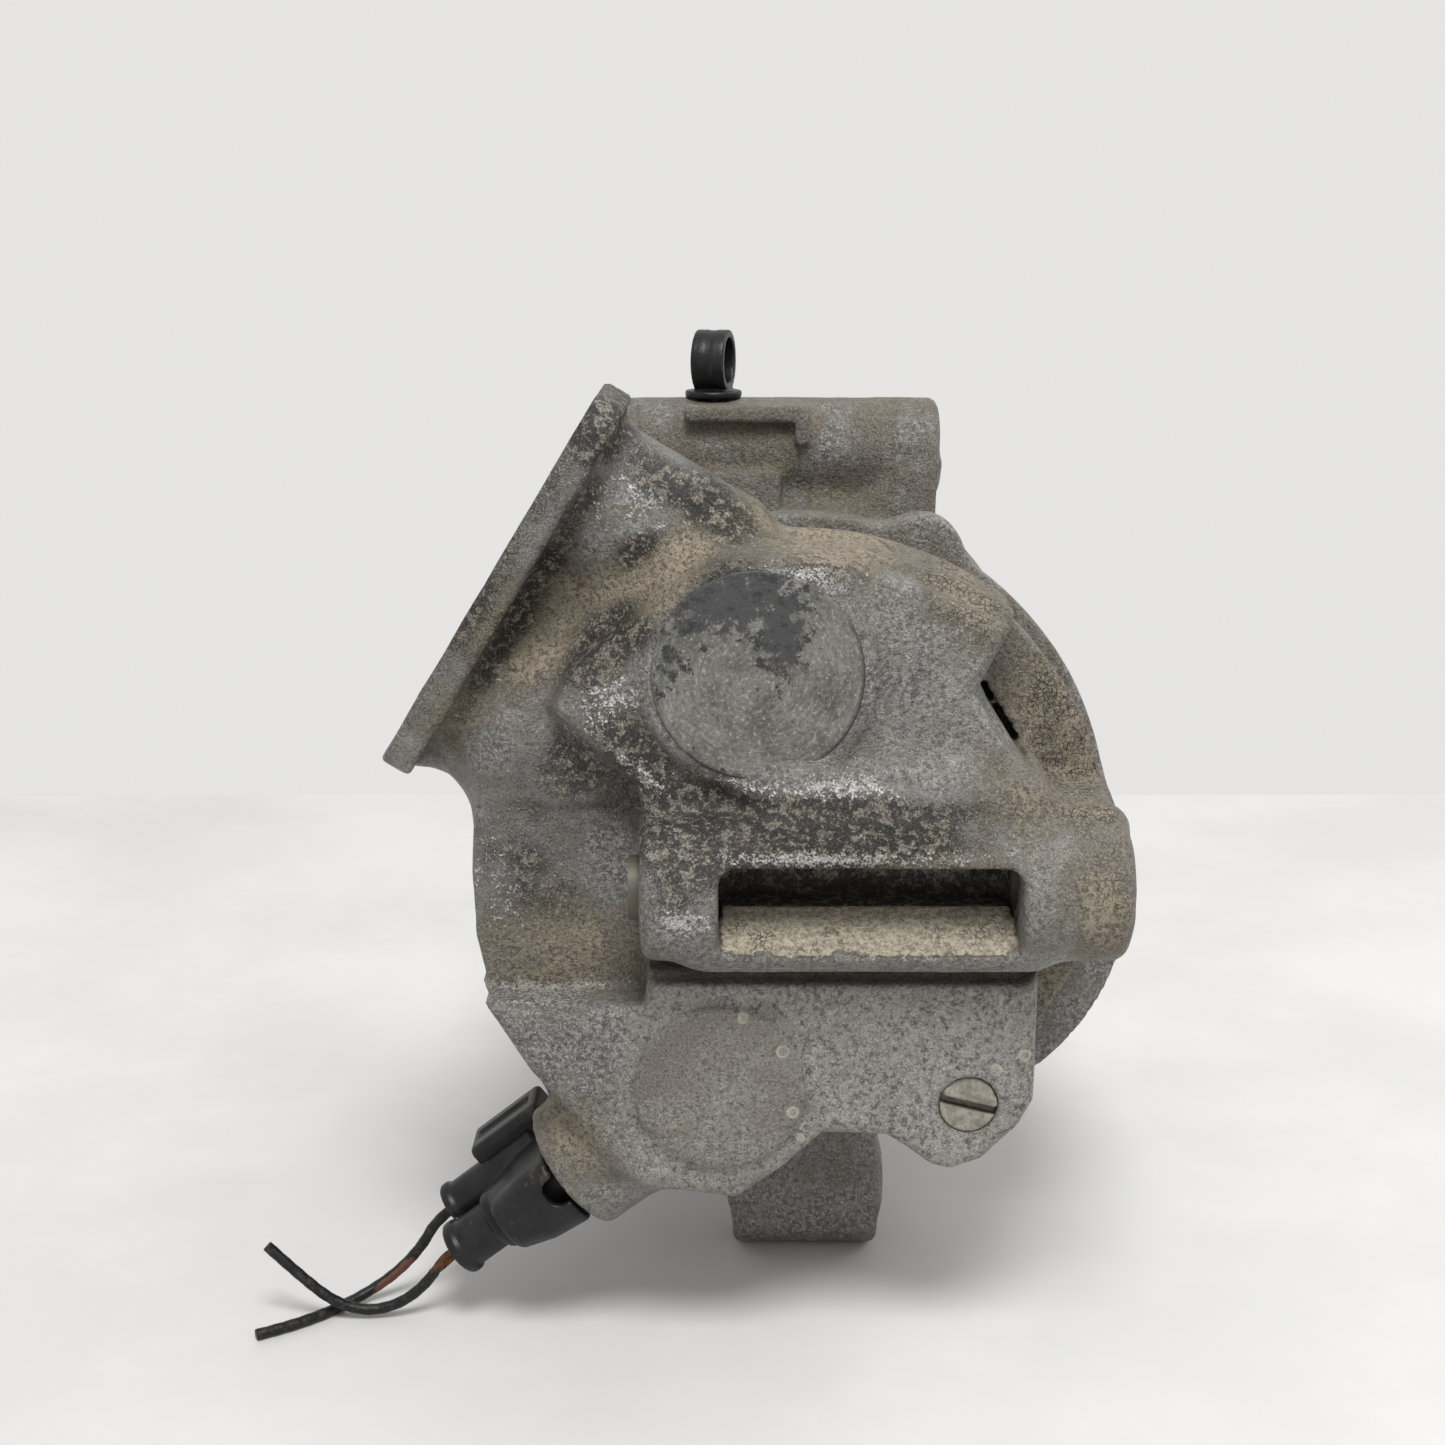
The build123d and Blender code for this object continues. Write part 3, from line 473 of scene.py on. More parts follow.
def skin_of(field, low, high, pitch):
    """Vertices and quads of the field's zero level inside a box."""
    axes = [np.arange(a, b + pitch, pitch) for a, b in zip(low, high)]
    x, y, z = np.meshgrid(*axes, indexing="ij", sparse=True)
    shape = tuple(len(a) for a in axes)
    values = np.broadcast_to(field(x, y, z), shape).astype(np.float32)
    cells, places, edges = [], [], []
    for axis in range(3):
        first = np.take(values, np.arange(shape[axis] - 1), axis)
        second = np.take(values, np.arange(1, shape[axis]), axis)
        at = np.argwhere((first < 0) != (second < 0))
        a, b = first[tuple(at.T)], second[tuple(at.T)]
        place = at.astype(float)
        place[:, axis] += a / (a - b)
        one, two = (axis + 1) % 3, (axis + 2) % 3
        around = []
        for step_one, step_two in ((-1, -1), (0, -1), (0, 0), (-1, 0)):
            cell = at.copy()
            cell[:, one] += step_one
            cell[:, two] += step_two
            around.append(np.ravel_multi_index(cell.T, shape, mode="clip"))
            cells.append(around[-1])
            places.append(place)
        ring = np.stack(around, -1)
        edges.append(np.where((a < 0)[:, None], ring, ring[:, ::-1]))
    cells, places = np.concatenate(cells), np.concatenate(places)
    kept, index = np.unique(cells, return_inverse=True)
    count = np.bincount(index)
    points = np.stack([np.bincount(index, places[:, k]) / count for k in range(3)], -1)
    points = points * pitch + np.array([a[0] for a in axes])
    quads = np.searchsorted(kept, np.concatenate(edges))
    for _ in range(3):
        push = slope(field, points)
        size = np.maximum((push ** 2).sum(1), 0.2)
        step = np.clip(field(*points.T) / size, -0.5 * pitch, 0.5 * pitch)
        points -= push * step[:, None]
    return points, quads


def lattice_noise(points, size, seed):
    """Random values between -1 and 1 on a grid of this size, blended smoothly between its
    corners."""
    table = np.random.default_rng(seed).random((16, 16, 16)) * 2 - 1
    grid = points / size
    base = np.floor(grid).astype(int)
    t = grid - base
    t = t * t * (3 - 2 * t)
    total = 0
    for corner in np.ndindex(2, 2, 2):
        weight = np.prod(np.where(corner, t, 1 - t), axis=1)
        total = total + weight * table[tuple(((base + corner) % 16).T)]
    return total


LUMPS, SMALL_LUMPS, HOLLOW_REACH = 7, 2.6, 5      # mm


def casting(name, field, low, high, pitch, roughness=0.1):
    """Mesh of a field, each vertex moved along its normal by noise times the roughness.

    Also gives the points, and how hollow each place is: how much nearer the surface still is,
    5 mm out from it, than it would be over a flat face."""
    points, quads = skin_of(field, low, high, pitch)
    normal = slope(field, points)
    normal /= np.maximum(np.linalg.norm(normal, axis=1), 1e-6)[:, None]
    lump = lattice_noise(points, LUMPS, 1) + 0.6 * lattice_noise(points, SMALL_LUMPS, 2)
    hollow = 1 - np.clip(field(*(points + normal * HOLLOW_REACH).T) / HOLLOW_REACH, 0, 1)
    points = points + normal * (roughness * lump)[:, None]
    piece = add_mesh(name, points, quads)
    print(name, len(points), "vertices")
    return piece, points, hollow


# %% [markdown]
# The rear housing is the face of the compressor: a thick disc with a machined pad, a tube
# across it for a long bolt, a leaning flange for the pipes, a boss for the control valve and
# hollow gas chambers inside. It could be sculpted, but a foundry pattern is drawn in outlines,
# so it is given here as the CAD model's outlines, each with a thickness and a fillet.

# %% Outlines of the rear housing
PORT_TILT, VALVE_LEAN = math.radians(58.6), math.radians(38)
port_centre, valve_mouth = (-57.9, -157.0, 56.1), (-44.8, -163.0, -64.2)
PAD, PLUG = (-8.4, 40.1), (32.1, -44.1)
BOLT_CIRCLE, LUG = 51, (-181, 0.2)


def spaced_round(radius, degrees):
    """Centres on a circle round the shaft, at the given angles from the X axis."""
    return [(radius * math.cos(a), radius * math.sin(a)) for a in np.radians(degrees)]


bolts = spaced_round(BOLT_CIRCLE, (126, 198, 270, 342, 54))
lower_edge = [(-3, -57.5), (4.5, -50.5), (16.7, -51), (20.5, -53.5), (25, -57), (29, -58.2),
              (35, -56), (42, -49), (45, -43.5)]
body_outline = [(39, 49.4), (28, 55.5), (14, 60), (-2, 61.5), (-20, 59.6), (-38, 48.5),
                (-52, 34), (-60.2, 18), (-62.3, 8), (-62.8, -2), (-62.2, -14), (-60, -25),
                (-50, -45), (-37, -62), (-24, -65), (-12, -64), *lower_edge, (45.3, 15.2),
                (32.4, 35.8)]
upper_land = [(-47, 33), (-44, 40), (-30, 51), (-12, 60.5), (8, 61.5), (24, 55), (38.5, 48.5),
              (32, 36), (44.8, 15), (44.8, 6), (-29, 6), (-31, 18)]
pad_tab = [(-29, 47), (-24, 54), (-12, 60.3), (-2, 61.8), (7.4, 61.3), (7.6, 50), (-8, 36)]
lower_land = [(-61, -23.5), (-30, -23.5), (-29, -17), (45, -17), *reversed(lower_edge),
              (-12, -64), (-30, -62), (-42, -50), (-52, -38)]
port_web = [(-74.5, 18.6), (-36, 83), (-9, 67), (-8, 50), (-50, 7), (-61, 12), (-67, 17)]
print("outline corners:", len(body_outline), "bolts:", len(bolts))

# %% [markdown]
# The pipe flange and the valve boss lean, so their points are first turned into their own
# axes. Then the field is built in the order a pattern maker works: body, raised lands, flange
# and bosses melted on, then the grooves, the window and the bores carved out.


# %% Rear housing field
def port_axes(x, z):
    """Along the port face and out of it: a turn in X and Z by the tilt of the face."""
    dx, dz = x - port_centre[0], z - port_centre[2]
    c, s = math.cos(PORT_TILT), math.sin(PORT_TILT)
    return dx * c + dz * s, dz * c - dx * s


def valve_axes(x, y, z):
    """Out of the control valve's mouth, up to the left of it, and towards the rear: a turn in
    X and Z by the valve's lean."""
    dx, dz = x - valve_mouth[0], z - valve_mouth[2]
    c, s = math.cos(VALVE_LEAN), math.sin(VALVE_LEAN)
    return -dx * c - dz * s, -dx * s + dz * c, valve_mouth[1] - y


def ramp_height(y):
    """Floor of the tube's window: 0.6 mm up for each mm in from the lip, level behind a ridge."""
    return np.minimum(0.6 * (y + 190) - 9.8, -3.8)


def rear_field(x, y, z):
    """Melted sum of the body, lands, flanges and bosses, less the grooves, window and bores."""
    along, out = port_axes(x, z)
    valve_out, valve_up, valve_back = valve_axes(x, y, z)
    valve_radius = np.hypot(valve_up, valve_back)
    lug_radius = np.hypot(y - LUG[0], z - LUG[1])
    # body, sloping forward to the left, and its two raised lands
    body = thick(polygon(x, z, body_outline), y, -168.5, -147, 2)
    land = thick(polygon(x, z, upper_land) + 0.6, y, -178.6, -150, 2.6)
    solid = melt(body, land, 4)
    collar = np.minimum(disc(x, z, PAD, 21.6), polygon(x, z, pad_tab))
    solid = melt(solid, thick(collar, y, -180.9, -165, 2), 3.2)
    fall_off = 1.4 * np.clip((-28 - x) / 18, 0, 1)
    lower = thick(polygon(x, z, lower_land) + 0.3, y, -179.4 + fall_off, -150, 2.6)
    solid = melt(solid, lower, 2.5)
    # raised round cover on the lower land, and the step over the tube
    solid = melt(solid, thick(disc(x, z, (-15.3, -40.2), 16.4), y, -180.9, -165, 1.3), 0.9)
    solid = melt(solid, thick(rectangle(x, z, (-8, 6), (45, 20), 4), y, -184, -160, 4), 8)
    # round flange
    flange = thick(np.hypot(x, z) - 61, y, -155, -140, 1.2)
    solid = melt(solid, flange, 5)
    # pipe flange, its bosses and web
    solid = melt(solid, thick(polygon(x, z, port_web), y, -162, -148, 3), 9)
    for at, wide in ((-21, 13.5), (20.5, 13.0)):
        boss = thick(np.hypot(along - at, y + 157) - wide, out, -38, -4, 3)
        solid = melt(solid, boss, 9)
    face = thick(rectangle(along, y, (-39.7, -177), (39.7, -137), 6), out, -6, 0, 0.9)
    solid = melt(solid, face, 3.5)
    # control valve boss and bolt tube
    solid = melt(solid, thick(valve_radius - 13.5, valve_out, -34, 0, 1.2), 6)
    tube_field = thick(lug_radius - 13.5, x, -30.5, 59.7, 3.2)
    neck = thick(rectangle(y, z, (-181, -13.3), (-149, 14.5), 3), x, 30, 59.3, 3)
    lip = thick(rectangle(x, z, (-22, -15.2), (46, -6), 5), y, -188.5, -168, 6.5)
    solid = melt(solid, melt(melt(tube_field, neck, 4), lip, 5), 3)
    # groove under the tube, and the cut beside the left land
    groove = thick(rectangle(x, z, (-28.5, -19), (42.5, -16.4), 1.2), y, -200, -177, 0.8)
    left_cut = thick(rectangle(x, z, (-75, -23.2), (-30.5, 12), 3), y, -200, -169.5, 0.6)
    solid = carve(carve(solid, groove, 2.4), left_cut, 2.2)
    # window through the tube, bores and seats
    window = thick(rectangle(y, z, (-200, -9.8), (-172, 6.9), 4), x, -15.6, 39.2, 3)
    window = np.maximum(window, (ramp_height(y) - z) * 0.86)
    solid = carve(solid, window, 1.6)
    lug_bore = np.maximum(thick(lug_radius - 6, x, -40, 70, 0.1), 26.9 - np.abs(x - 11.8))
    solid = carve(solid, lug_bore, 0.3)
    solid = carve(solid, thick(valve_radius - 9.5, valve_out, -58, 10, 0.3), 0.8)
    for at, wide, deep in ((-21, 9.5, 42), (20.5, 8, 24), (20.5, 7.5, 62), (-1, 3.4, 18),
                           (34, 3.4, 5.5)):
        solid = carve(solid, thick(np.hypot(along - at, y + 157) - wide, out, -deep, 6, 0.3), 0.5)
    solid = carve(solid, thick(disc(x, z, PLUG, 5.7), y, -190, -168, 0.2), 0.6)
    for place in bolts:
        solid = carve(solid, thick(disc(x, z, place, 3), y, -154, -130, 0.2), 0.2)
    # thin slit at the notch and the shallow round mark beside the pad
    dx, dz = x - 38.6, z - 27.8
    slit = rectangle(dx * 0.53 - dz * 0.85, dx * 0.85 + dz * 0.53, (-7, -0.65), (7, 0.65), 0.5)
    solid = carve(solid, thick(slit, y, -200, -150, 0.3), 0.3)
    mark = thick(disc(x, z, (20.9, 44.6), 4.6), y, -200, -179.55, 0.3)
    solid = carve(solid, mark, 0.6)
    # gas chambers, open to the front, kept off the control valve's bore
    radius = np.hypot(x, z)
    chambers = np.minimum(thick(np.abs(radius - 34) - 9, y, -160, -120, 1.5),
                          thick(radius - 20, y, -160, -120, 1.5))
    chambers = np.maximum(chambers, 12.5 - valve_radius)
    solid = carve(solid, chambers, 0.6)
    return np.maximum(solid, y + 142.6)


rear_piece, rear_points, rear_hollow = casting(
    "rear_housing_cast", rear_field, (-86, -196, -82), (64, -138, 96), 1.0)

# %% [markdown]
# The cylinder block is a short drum with five bores for the pistons, one for the shaft and one
# lug underneath. Only its rim and lug show, but an exploded view shows the bores as well. It
# could be turned, but the lug and the ear have to melt into the rim, so it is a field too.

# %% Cylinder block field
bores = spaced_round(29.67, (90, 162, 234, 306, 18))


def block_field(x, y, z):
    """Melted sum of the drum, its offset bulge, rim, ear and lug, less the bores."""
    radius = np.hypot(x, z)
    solid = thick(radius - 60, y, -138, -110, 0.6)
    solid = melt(solid, thick(disc(x, z, (20, -16), 49.8), y, -136, -110, 1), 5)
    rim = melt(radius - 63.5, disc(x, z, (25, 55), 8.3), 4)
    solid = melt(solid, thick(rim, y, -138.5, -130, 1.2), 2.5)
    lug = np.hypot(y + 128, z + 86.5)
    solid = melt(solid, thick(lug - 11, x, -12.6, 18.5, 2.0), 1.5)
    neck = thick(rectangle(y, z, (-136, -86.5), (-120, -50), 2), x, -12.6, 18.5, 2.0)
    solid = melt(solid, neck, 5)
    solid = np.maximum(solid, np.maximum(y + 112, -138 - y))
    solid = np.minimum(solid, thick(radius - 46.8, y, -125, -93, 0.3))
    for place in bores:
        solid = carve(solid, thick(disc(x, z, place, 16.0), y, -150, -80, 0.1), 0.2)
    solid = carve(solid, thick(radius - 12.05, y, -150, -80, 0.1), 0.2)
    for place in bolts:
        solid = carve(solid, thick(disc(x, z, place, 3.3), y, -150, -100, 0.1), 0.2)
    return carve(solid, thick(lug - 4.25, x, -20, 30, 0.1), 0.8)


block_piece, block_points, block_hollow = casting(
    "cylinder_block_cast", block_field, (-67, -140, -100), (73, -91, 68), 1.2, 0.08)

# %% [markdown]
# The front housing is a deep can with a cone and a nose for the shaft, eight ribs where the
# cone starts and the top tube for a mounting bolt. A can could be spun from a profile, but the
# tube, its web and the ribs are part of the same casting and run into it with fillets.


# %% Front housing field
def front_field(x, y, z):
    """Melted sum of the can, cone, nose, tube, web and ribs, less the hollow and the bores."""
    radius = np.hypot(x, z)
    shell = thick(radius - 61, y, -125, -36, 2)
    cone = thick(radius - np.interp(y, [-36, -28, -25, -22], [38, 28, 20, 17.5]), y, -45, -22, 0.5)
    solid = melt(melt(shell, cone, 3), thick(radius - 17.5, y, -60, 11.8, 0.6), 2)
    solid = melt(solid, thick(disc(x, z, (20, -16), 49.8), y, -125, -100, 3), 6)
    tube_radius = np.hypot(y + 100, z - 73.3)
    tube_field = thick(tube_radius - 10, x, -40, 31, 2.2)
    web = thick(rectangle(x, z, (-40, 48), (22, 72), 3), y, -106, -94, 2)
    solid = melt(solid, melt(tube_field, web, 4), 6)
    # rib on the tube with its hooked end, ledge below it, gusset at the right
    solid = melt(solid, thick(rectangle(x, z, (-22.7, 79), (3.3, 82.6), 1), y, -112, -98, 0.8), 0.8)
    solid = melt(solid, thick(rectangle(x, z, (0.4, 74), (3.4, 81), 1), y, -112, -98, 0.8), 0.8)
    solid = melt(solid, thick(rectangle(x, z, (-30, 56), (-2.5, 69), 1.5), y, -112, -96, 1), 1)
    gusset = polygon(x, z, [(8, 56), (30, 50), (30.5, 70), (22, 69)])
    solid = melt(solid, thick(gusset, y, -110, -96, 1.2), 3)
    solid = carve(solid, thick(rectangle(x, z, (20.3, 64), (21, 90), 0.2), y, -112, -103, 0.2), 0.4)
    for a in np.radians(range(18, 378, 45)):
        outward = np.abs(x * math.cos(a) + z * math.sin(a) - 49) - 12.6
        sideways = np.abs(x * math.sin(a) - z * math.cos(a)) - 2.2
        solid = melt(solid, thick(np.maximum(sideways, outward), y, -70, -34.6, 1), 2.5)
    hollow = np.minimum(thick(radius - 47, y, -150, -46, 0.5),
                        thick(radius - 43, y, -60, -42, 0.3))
    for wide, start, end in ((12.05, -60, -28), (9, -60, 30), (13, -24, 30)):
        hollow = np.minimum(hollow, thick(radius - wide, y, start, end, 0.1))
    solid = carve(solid, hollow, 0.3)
    for place in bolts:
        solid = carve(solid, thick(disc(x, z, place, 3.3), y, -130, -20, 0.1), 0.2)
    solid = carve(solid, thick(tube_radius - 4.25, x, -60, 40, 0.1), 0.8)
    solid = carve(solid, thick(disc(x, y, (-16.7, -100), 2.6), z, 78.5, 90, 0.1), 0.3)
    return np.maximum(solid, -112 - y)


front_piece, front_points, front_hollow = casting(
    "front_housing_cast", front_field, (-65, -114, -68), (73, 14, 87), 1.2, 0.08)

# %% [markdown]
# Road dirt isn't spread evenly: tan mud sits in the valleys, black paint and oil stay in
# broad patches, and white corrosion blooms along the edges of the patches. It could be painted
# by hand, but a table of soft blobs is easier to change: each kind of dirt is a number per
# vertex, the strongest of its blobs there plus a share of how hollow the place is.


# %% Where the dirt sits
def blob(points, centre, size, turn=0.0):
    """1 less the distance from the centre in X and Z, measured in radii of a turned ellipse."""
    a = math.radians(turn)
    dx, dz = points[:, 0] - centre[0], points[:, 2] - centre[1]
    u, v = dx * math.cos(a) + dz * math.sin(a), dz * math.cos(a) - dx * math.sin(a)
    return np.clip(1 - np.sqrt((u / size[0]) ** 2 + (v / size[1]) ** 2), 0, 1)


def most(points, blobs):
    """The strongest blob at each point. A row is strength, x, z, two radii and a turn."""
    return np.maximum.reduce([strength * blob(points, (x, z), (wide, high), turn)
                              for strength, x, z, wide, high, turn in blobs])


black_blobs = [
    (2.2, 0, 12.5, 44, 9, 0), (2.2, -21, 12, 14, 14, 0), (1.0, -22, 2, 10, 8, 0),
    (1.7, -36, 44, 14, 7, 42), (0.9, -42, 20, 22, 13, 10), (1.6, -31, 25, 19, 8, -48),
    (2.2, -36, 84, 10, 8, 60), (1.3, -20, 71, 24, 7, -32), (1.1, -50, 54, 44, 5, 59),
    (0.9, -14, 59, 12, 4, 20), (1.2, -30, 62, 11, 4, 40), (0.9, -52, 2, 18, 24, 0),
    (0.9, -60, 54, 60, 9, 59), (0.7, 10, -62, 40, 6, 0)]
mud_blobs = [
    (2.0, -50, 47, 18, 15, 40), (2.0, -31, 55, 30, 10, 35), (1.3, -64, 31, 13, 9, 50),
    (1.9, 8, 65, 50, 9, -4), (1.3, 31, 55, 19, 13, -35), (1.3, -47, -14, 28, 16, 0),
    (1.3, 54, 1, 12, 24, 0), (1.4, 50, 24, 14, 32, 20), (1.5, 12, -6, 32, 6, 0),
    (1.2, 52, -30, 13, 30, 0), (1.1, -44, -52, 16, 14, 50), (1.2, 14, 9, 40, 7, 0),
    (1.0, 40, 16, 16, 14, 0), (0.5, -58, 60, 50, 5, 59)]
bloom_blobs = [
    (1.0, -30, 69, 14, 8, -30), (1.5, 0, 58.5, 13, 5, -5), (1.5, -22, -3, 9, 6, 0),
    (1.0, -36, 34, 8, 14, -35), (0.8, 40, 12, 9, 6, 0), (1.7, 4, 8.6, 38, 2.2, 0),
    (1.1, -50, -24, 30, 3, 0), (0.9, -28, 20, 18, 5, -40), (1.1, 12, -10.5, 34, 2, 0),
    (0.7, 26, 46, 16, 12, 0), (0.6, -56, -4, 12, 22, 0), (1.2, 4, 20, 40, 4, 0)]
crack_blobs = [(1.4, 31, 55, 18, 14, -35), (1.2, 52, 20, 12, 34, 15)]
print("blobs:", len(black_blobs), "black,", len(mud_blobs), "mud,", len(bloom_blobs), "bloom")

# %% [markdown]
# The rear housing gets all of it, with two places of its own: the ramp in the window, pale
# with dried mud and with painted light on it, and the pocket behind it, painted black as
# painted shade. The two layers of noise make ragged edges.

# %% Paint the rear housing
x, y, z = rear_points.T
ragged = 0.22 * lattice_noise(rear_points, 6, 5) + 0.16 * lattice_noise(rear_points, 2.5, 6)
ramp = np.clip(1.6 - np.abs(z - ramp_height(y)), 0, 1) * (np.abs(x - 12) < 27)
ramp *= (y > -189.5) * np.clip((-179.6 - y) / 0.8, 0, 1)
# painted shade: the pocket behind the ramp, inside the tube, is painted black as if in shadow
pocket_shade = (y > -186) * (np.abs(x - 12) < 28) * (z > -4.4) * (z < 7.4)
black = np.maximum(most(rear_points, black_blobs), 1.8 * pocket_shade) - 4 * ramp
mud = np.maximum(most(rear_points, mud_blobs), 2.2 * ramp)
bloom = most(rear_points, bloom_blobs)
cracked = np.maximum(most(rear_points, crack_blobs), 0.45 * ramp)
for name, layer in (("grime", black + 0.25 * rear_hollow), ("dirt", mud + 0.45 * rear_hollow),
                    ("bloom", bloom), ("cracked", cracked)):
    paint(rear_piece, name, np.clip(layer + ragged * (layer > 0), 0, 1.5))
low_plate = np.clip((-z - 16) / 4, 0, 1) * np.clip((-166 - y) / 6, 0, 1) * np.clip((x + 40) / 20, 0, 1)
on_cover = np.clip(16.6 - np.hypot(x + 15.3, z + 40.2), 0, 1) * (y < -179)
paint(rear_piece, "clean", low_plate)
# how hollow each place is, which the finish turns into painted shade; kept off the ramp
paint(rear_piece, "hollow", np.clip(rear_hollow, 0, 1) * (1 - 0.95 * ramp))
paint(rear_piece, "film", 0.30 * (1 - low_plate) + 0.9 * on_cover)
# the ramp is dried mud, painted paler still as painted light on the window's floor
paint(rear_piece, "pale", ramp)
print("dirt painted on", len(rear_points), "vertices of the rear housing")

# %% [markdown]
# The block and the front housing have no pattern of their own, so noise and hollowness place
# their dirt: more dust above, grime in the corners. The front housing is the dustier of the two.

# %% Paint the block and the front housing
for piece, points, hollow, dust in ((block_piece, block_points, block_hollow, 0.4),
                                    (front_piece, front_points, front_hollow, 0.95)):
    x, y, z = points.T
    ragged = 0.3 * lattice_noise(points, 9, 7) + 0.2 * lattice_noise(points, 3, 8)
    upper = np.clip(z / 50, 0, 1)
    paint(piece, "grime", np.clip(0.7 * hollow - 0.1 + ragged, 0, 1) * 0.6)
    paint(piece, "dirt", np.clip(0.1 + 0.3 * upper + 0.6 * hollow + ragged, 0, 1))
    paint(piece, "bloom", np.clip(0.1 + ragged - 0.3 * hollow, 0, 1) * 0.3)
    # how hollow each place is, which the finish turns into painted shade
    paint(piece, "hollow", np.clip(hollow, 0, 1) * 0.45)
    paint(piece, "film", np.clip(dust + 0.5 * ragged, 0, 1))
    paint(piece, "cracked", np.clip(ragged + 0.2 + 0.3 * (x > 30), 0, 1) * (np.hypot(x, z) > 50))
    paint(piece, "clean", np.zeros(len(points)))
print("dirt painted on", len(block_points) + len(front_points), "vertices of the others")

# %% [markdown]
# Cast aluminium is a dull metal: grey, with a sandy grain, brighter where it has been rubbed
# and freckled where salt has bitten it. The finish starts from that grain and lays black paint,
# mud and white bloom over it, each broken up by its own noise, then paints shade in the hollows.


# %% Cast aluminium finish
def cast_metal(name):
    cast = Finish(name)
    cloud, blotch = cast.noise(70, 4, 0.6), cast.noise(260, 5, 0.7)
    grain, sand = cast.noise(950, 4, 0.75), cast.noise(2300, 2, 0.7)
    clean = cast.mask("clean")
    # bare casting: grey in soft patches, with bright and dark grains
    tone = cloud * 0.5 + blotch * 0.5
    grey = cast.colour(tone.step(0.36, 0.64), (0.110, 0.106, 0.097), (0.208, 0.202, 0.188))
    grey = cast.colour(clean * 0.35, grey, (0.30, 0.282, 0.25))
    grey = cast.colour(grain.step(0.50, 0.62) * 0.55, grey, (0.42, 0.41, 0.385))
    grey = cast.colour(sand.step(0.56, 0.66) * 0.45, grey, (0.62, 0.62, 0.60))
    grey = cast.colour((1 - grain.step(0.38, 0.47)) * 0.75, grey, (0.048, 0.045, 0.039))
    grey = cast.colour((1 - sand.step(0.34, 0.42)) * 0.50, grey, (0.05, 0.047, 0.04))
    # a thin film of dust
    film = (cloud * 0.6 + blotch * 0.6 + cast.mask("dirt") * 0.5).step(0.5, 1.0)
    film = film * (1 - clean) * 0.5 + cast.mask("film") * cloud.step(0.25, 0.6) * 0.7
    dust = cast.colour(sand.step(0.3, 0.7), (0.058, 0.051, 0.040), (0.185, 0.167, 0.138))
    grey = cast.colour(film.step(0.0, 1.0), grey, dust)
    # mud, cracked where it dried thick
    mud = cast.mask("dirt") + (blotch - 0.5) * 1.6 + (grain - 0.5) * 1.6
    mud = mud.step(0.40, 1.10) * 0.9
    cell = cast.node("ShaderNodeTexVoronoi", {"feature": "DISTANCE_TO_EDGE"}, out="Distance",
                     Vector=cast.place, Scale=900.0, Randomness=1.0)
    crack = (1 - cell.step(0.0, 0.08)) * cast.mask("cracked").step(0.3, 0.8)
    crack = crack * mud * blotch.step(0.42, 0.56)
    earth = cast.colour(grain.step(0.38, 0.60), (0.075, 0.060, 0.041), (0.275, 0.232, 0.165))
    earth = cast.colour(sand.step(0.50, 0.66) * 0.55, earth, (0.36, 0.32, 0.245))
    earth = cast.colour((1 - sand.step(0.32, 0.44)) * 0.5, earth, (0.04, 0.032, 0.022))
    # the ramp's dried mud, painted paler than the mud elsewhere as painted light
    pale = cast.colour(grain.step(0.36, 0.64), (0.21, 0.182, 0.132), (0.50, 0.448, 0.352))
    earth = cast.colour(cast.mask("pale") * 0.75, earth, pale)
    earth = cast.colour(crack * 0.8, earth, (0.02, 0.016, 0.012))
    colour = cast.colour(mud, grey, earth)
    # black paint and oil, chipped down to the dusty metal
    soft_edge = cast.mask("grime") + (blotch - 0.5) * 1.5
    black = (soft_edge + (grain - 0.5) * 2.6 + (sand - 0.5) * 2.0).step(0.50, 0.66)
    soot = cast.colour(blotch.step(0.40, 0.60), (0.004, 0.004, 0.004), (0.020, 0.017, 0.013))
    soot = cast.colour(sand.step(0.54, 0.66) * 0.6, soot, (0.09, 0.08, 0.064))
    soot = cast.colour(grain.step(0.57, 0.66) * 0.7, soot, (0.27, 0.25, 0.21))
    chipped = (cast.noise(520, 4, 0.75) + (blotch - 0.5) * 0.5).step(0.52, 0.58)
    chips = cast.colour(sand.step(0.4, 0.6), (0.115, 0.093, 0.062), (0.34, 0.315, 0.265))
    colour = cast.colour(black * 0.94, colour, cast.colour(chipped * 0.55, soot, chips))
    # white bloom, strongest along the rim of the black
    rim = soft_edge.step(0.12, 0.40) * (1 - soft_edge.step(0.40, 0.85))
    salt = cast.mask("bloom") * 0.75 + rim * 0.30 + (grain - 0.5) * 2.8 + (sand - 0.5) * 1.4
    white = salt.step(0.60, 1.05) * (1 - mud * 0.6) * 0.8
    crust = cast.colour(sand.step(0.35, 0.65), (0.26, 0.255, 0.245), (0.66, 0.655, 0.635))
    colour = cast.colour(white, colour, crust)
    # dried drops on the clean plate, and painted shade darkening the hollows
    drops = cast.node("ShaderNodeTexVoronoi", {"feature": "F1"}, out="Distance",
                      Vector=cast.place, Scale=130.0, Randomness=1.0)
    spot = (drops.step(0.09, 0.13) * 0.6 + 0.3) * (1 - drops.step(0.15, 0.19))
    colour = cast.colour(spot * clean * cloud.step(0.42, 0.58) * 0.8, colour, (0.44, 0.41, 0.34))
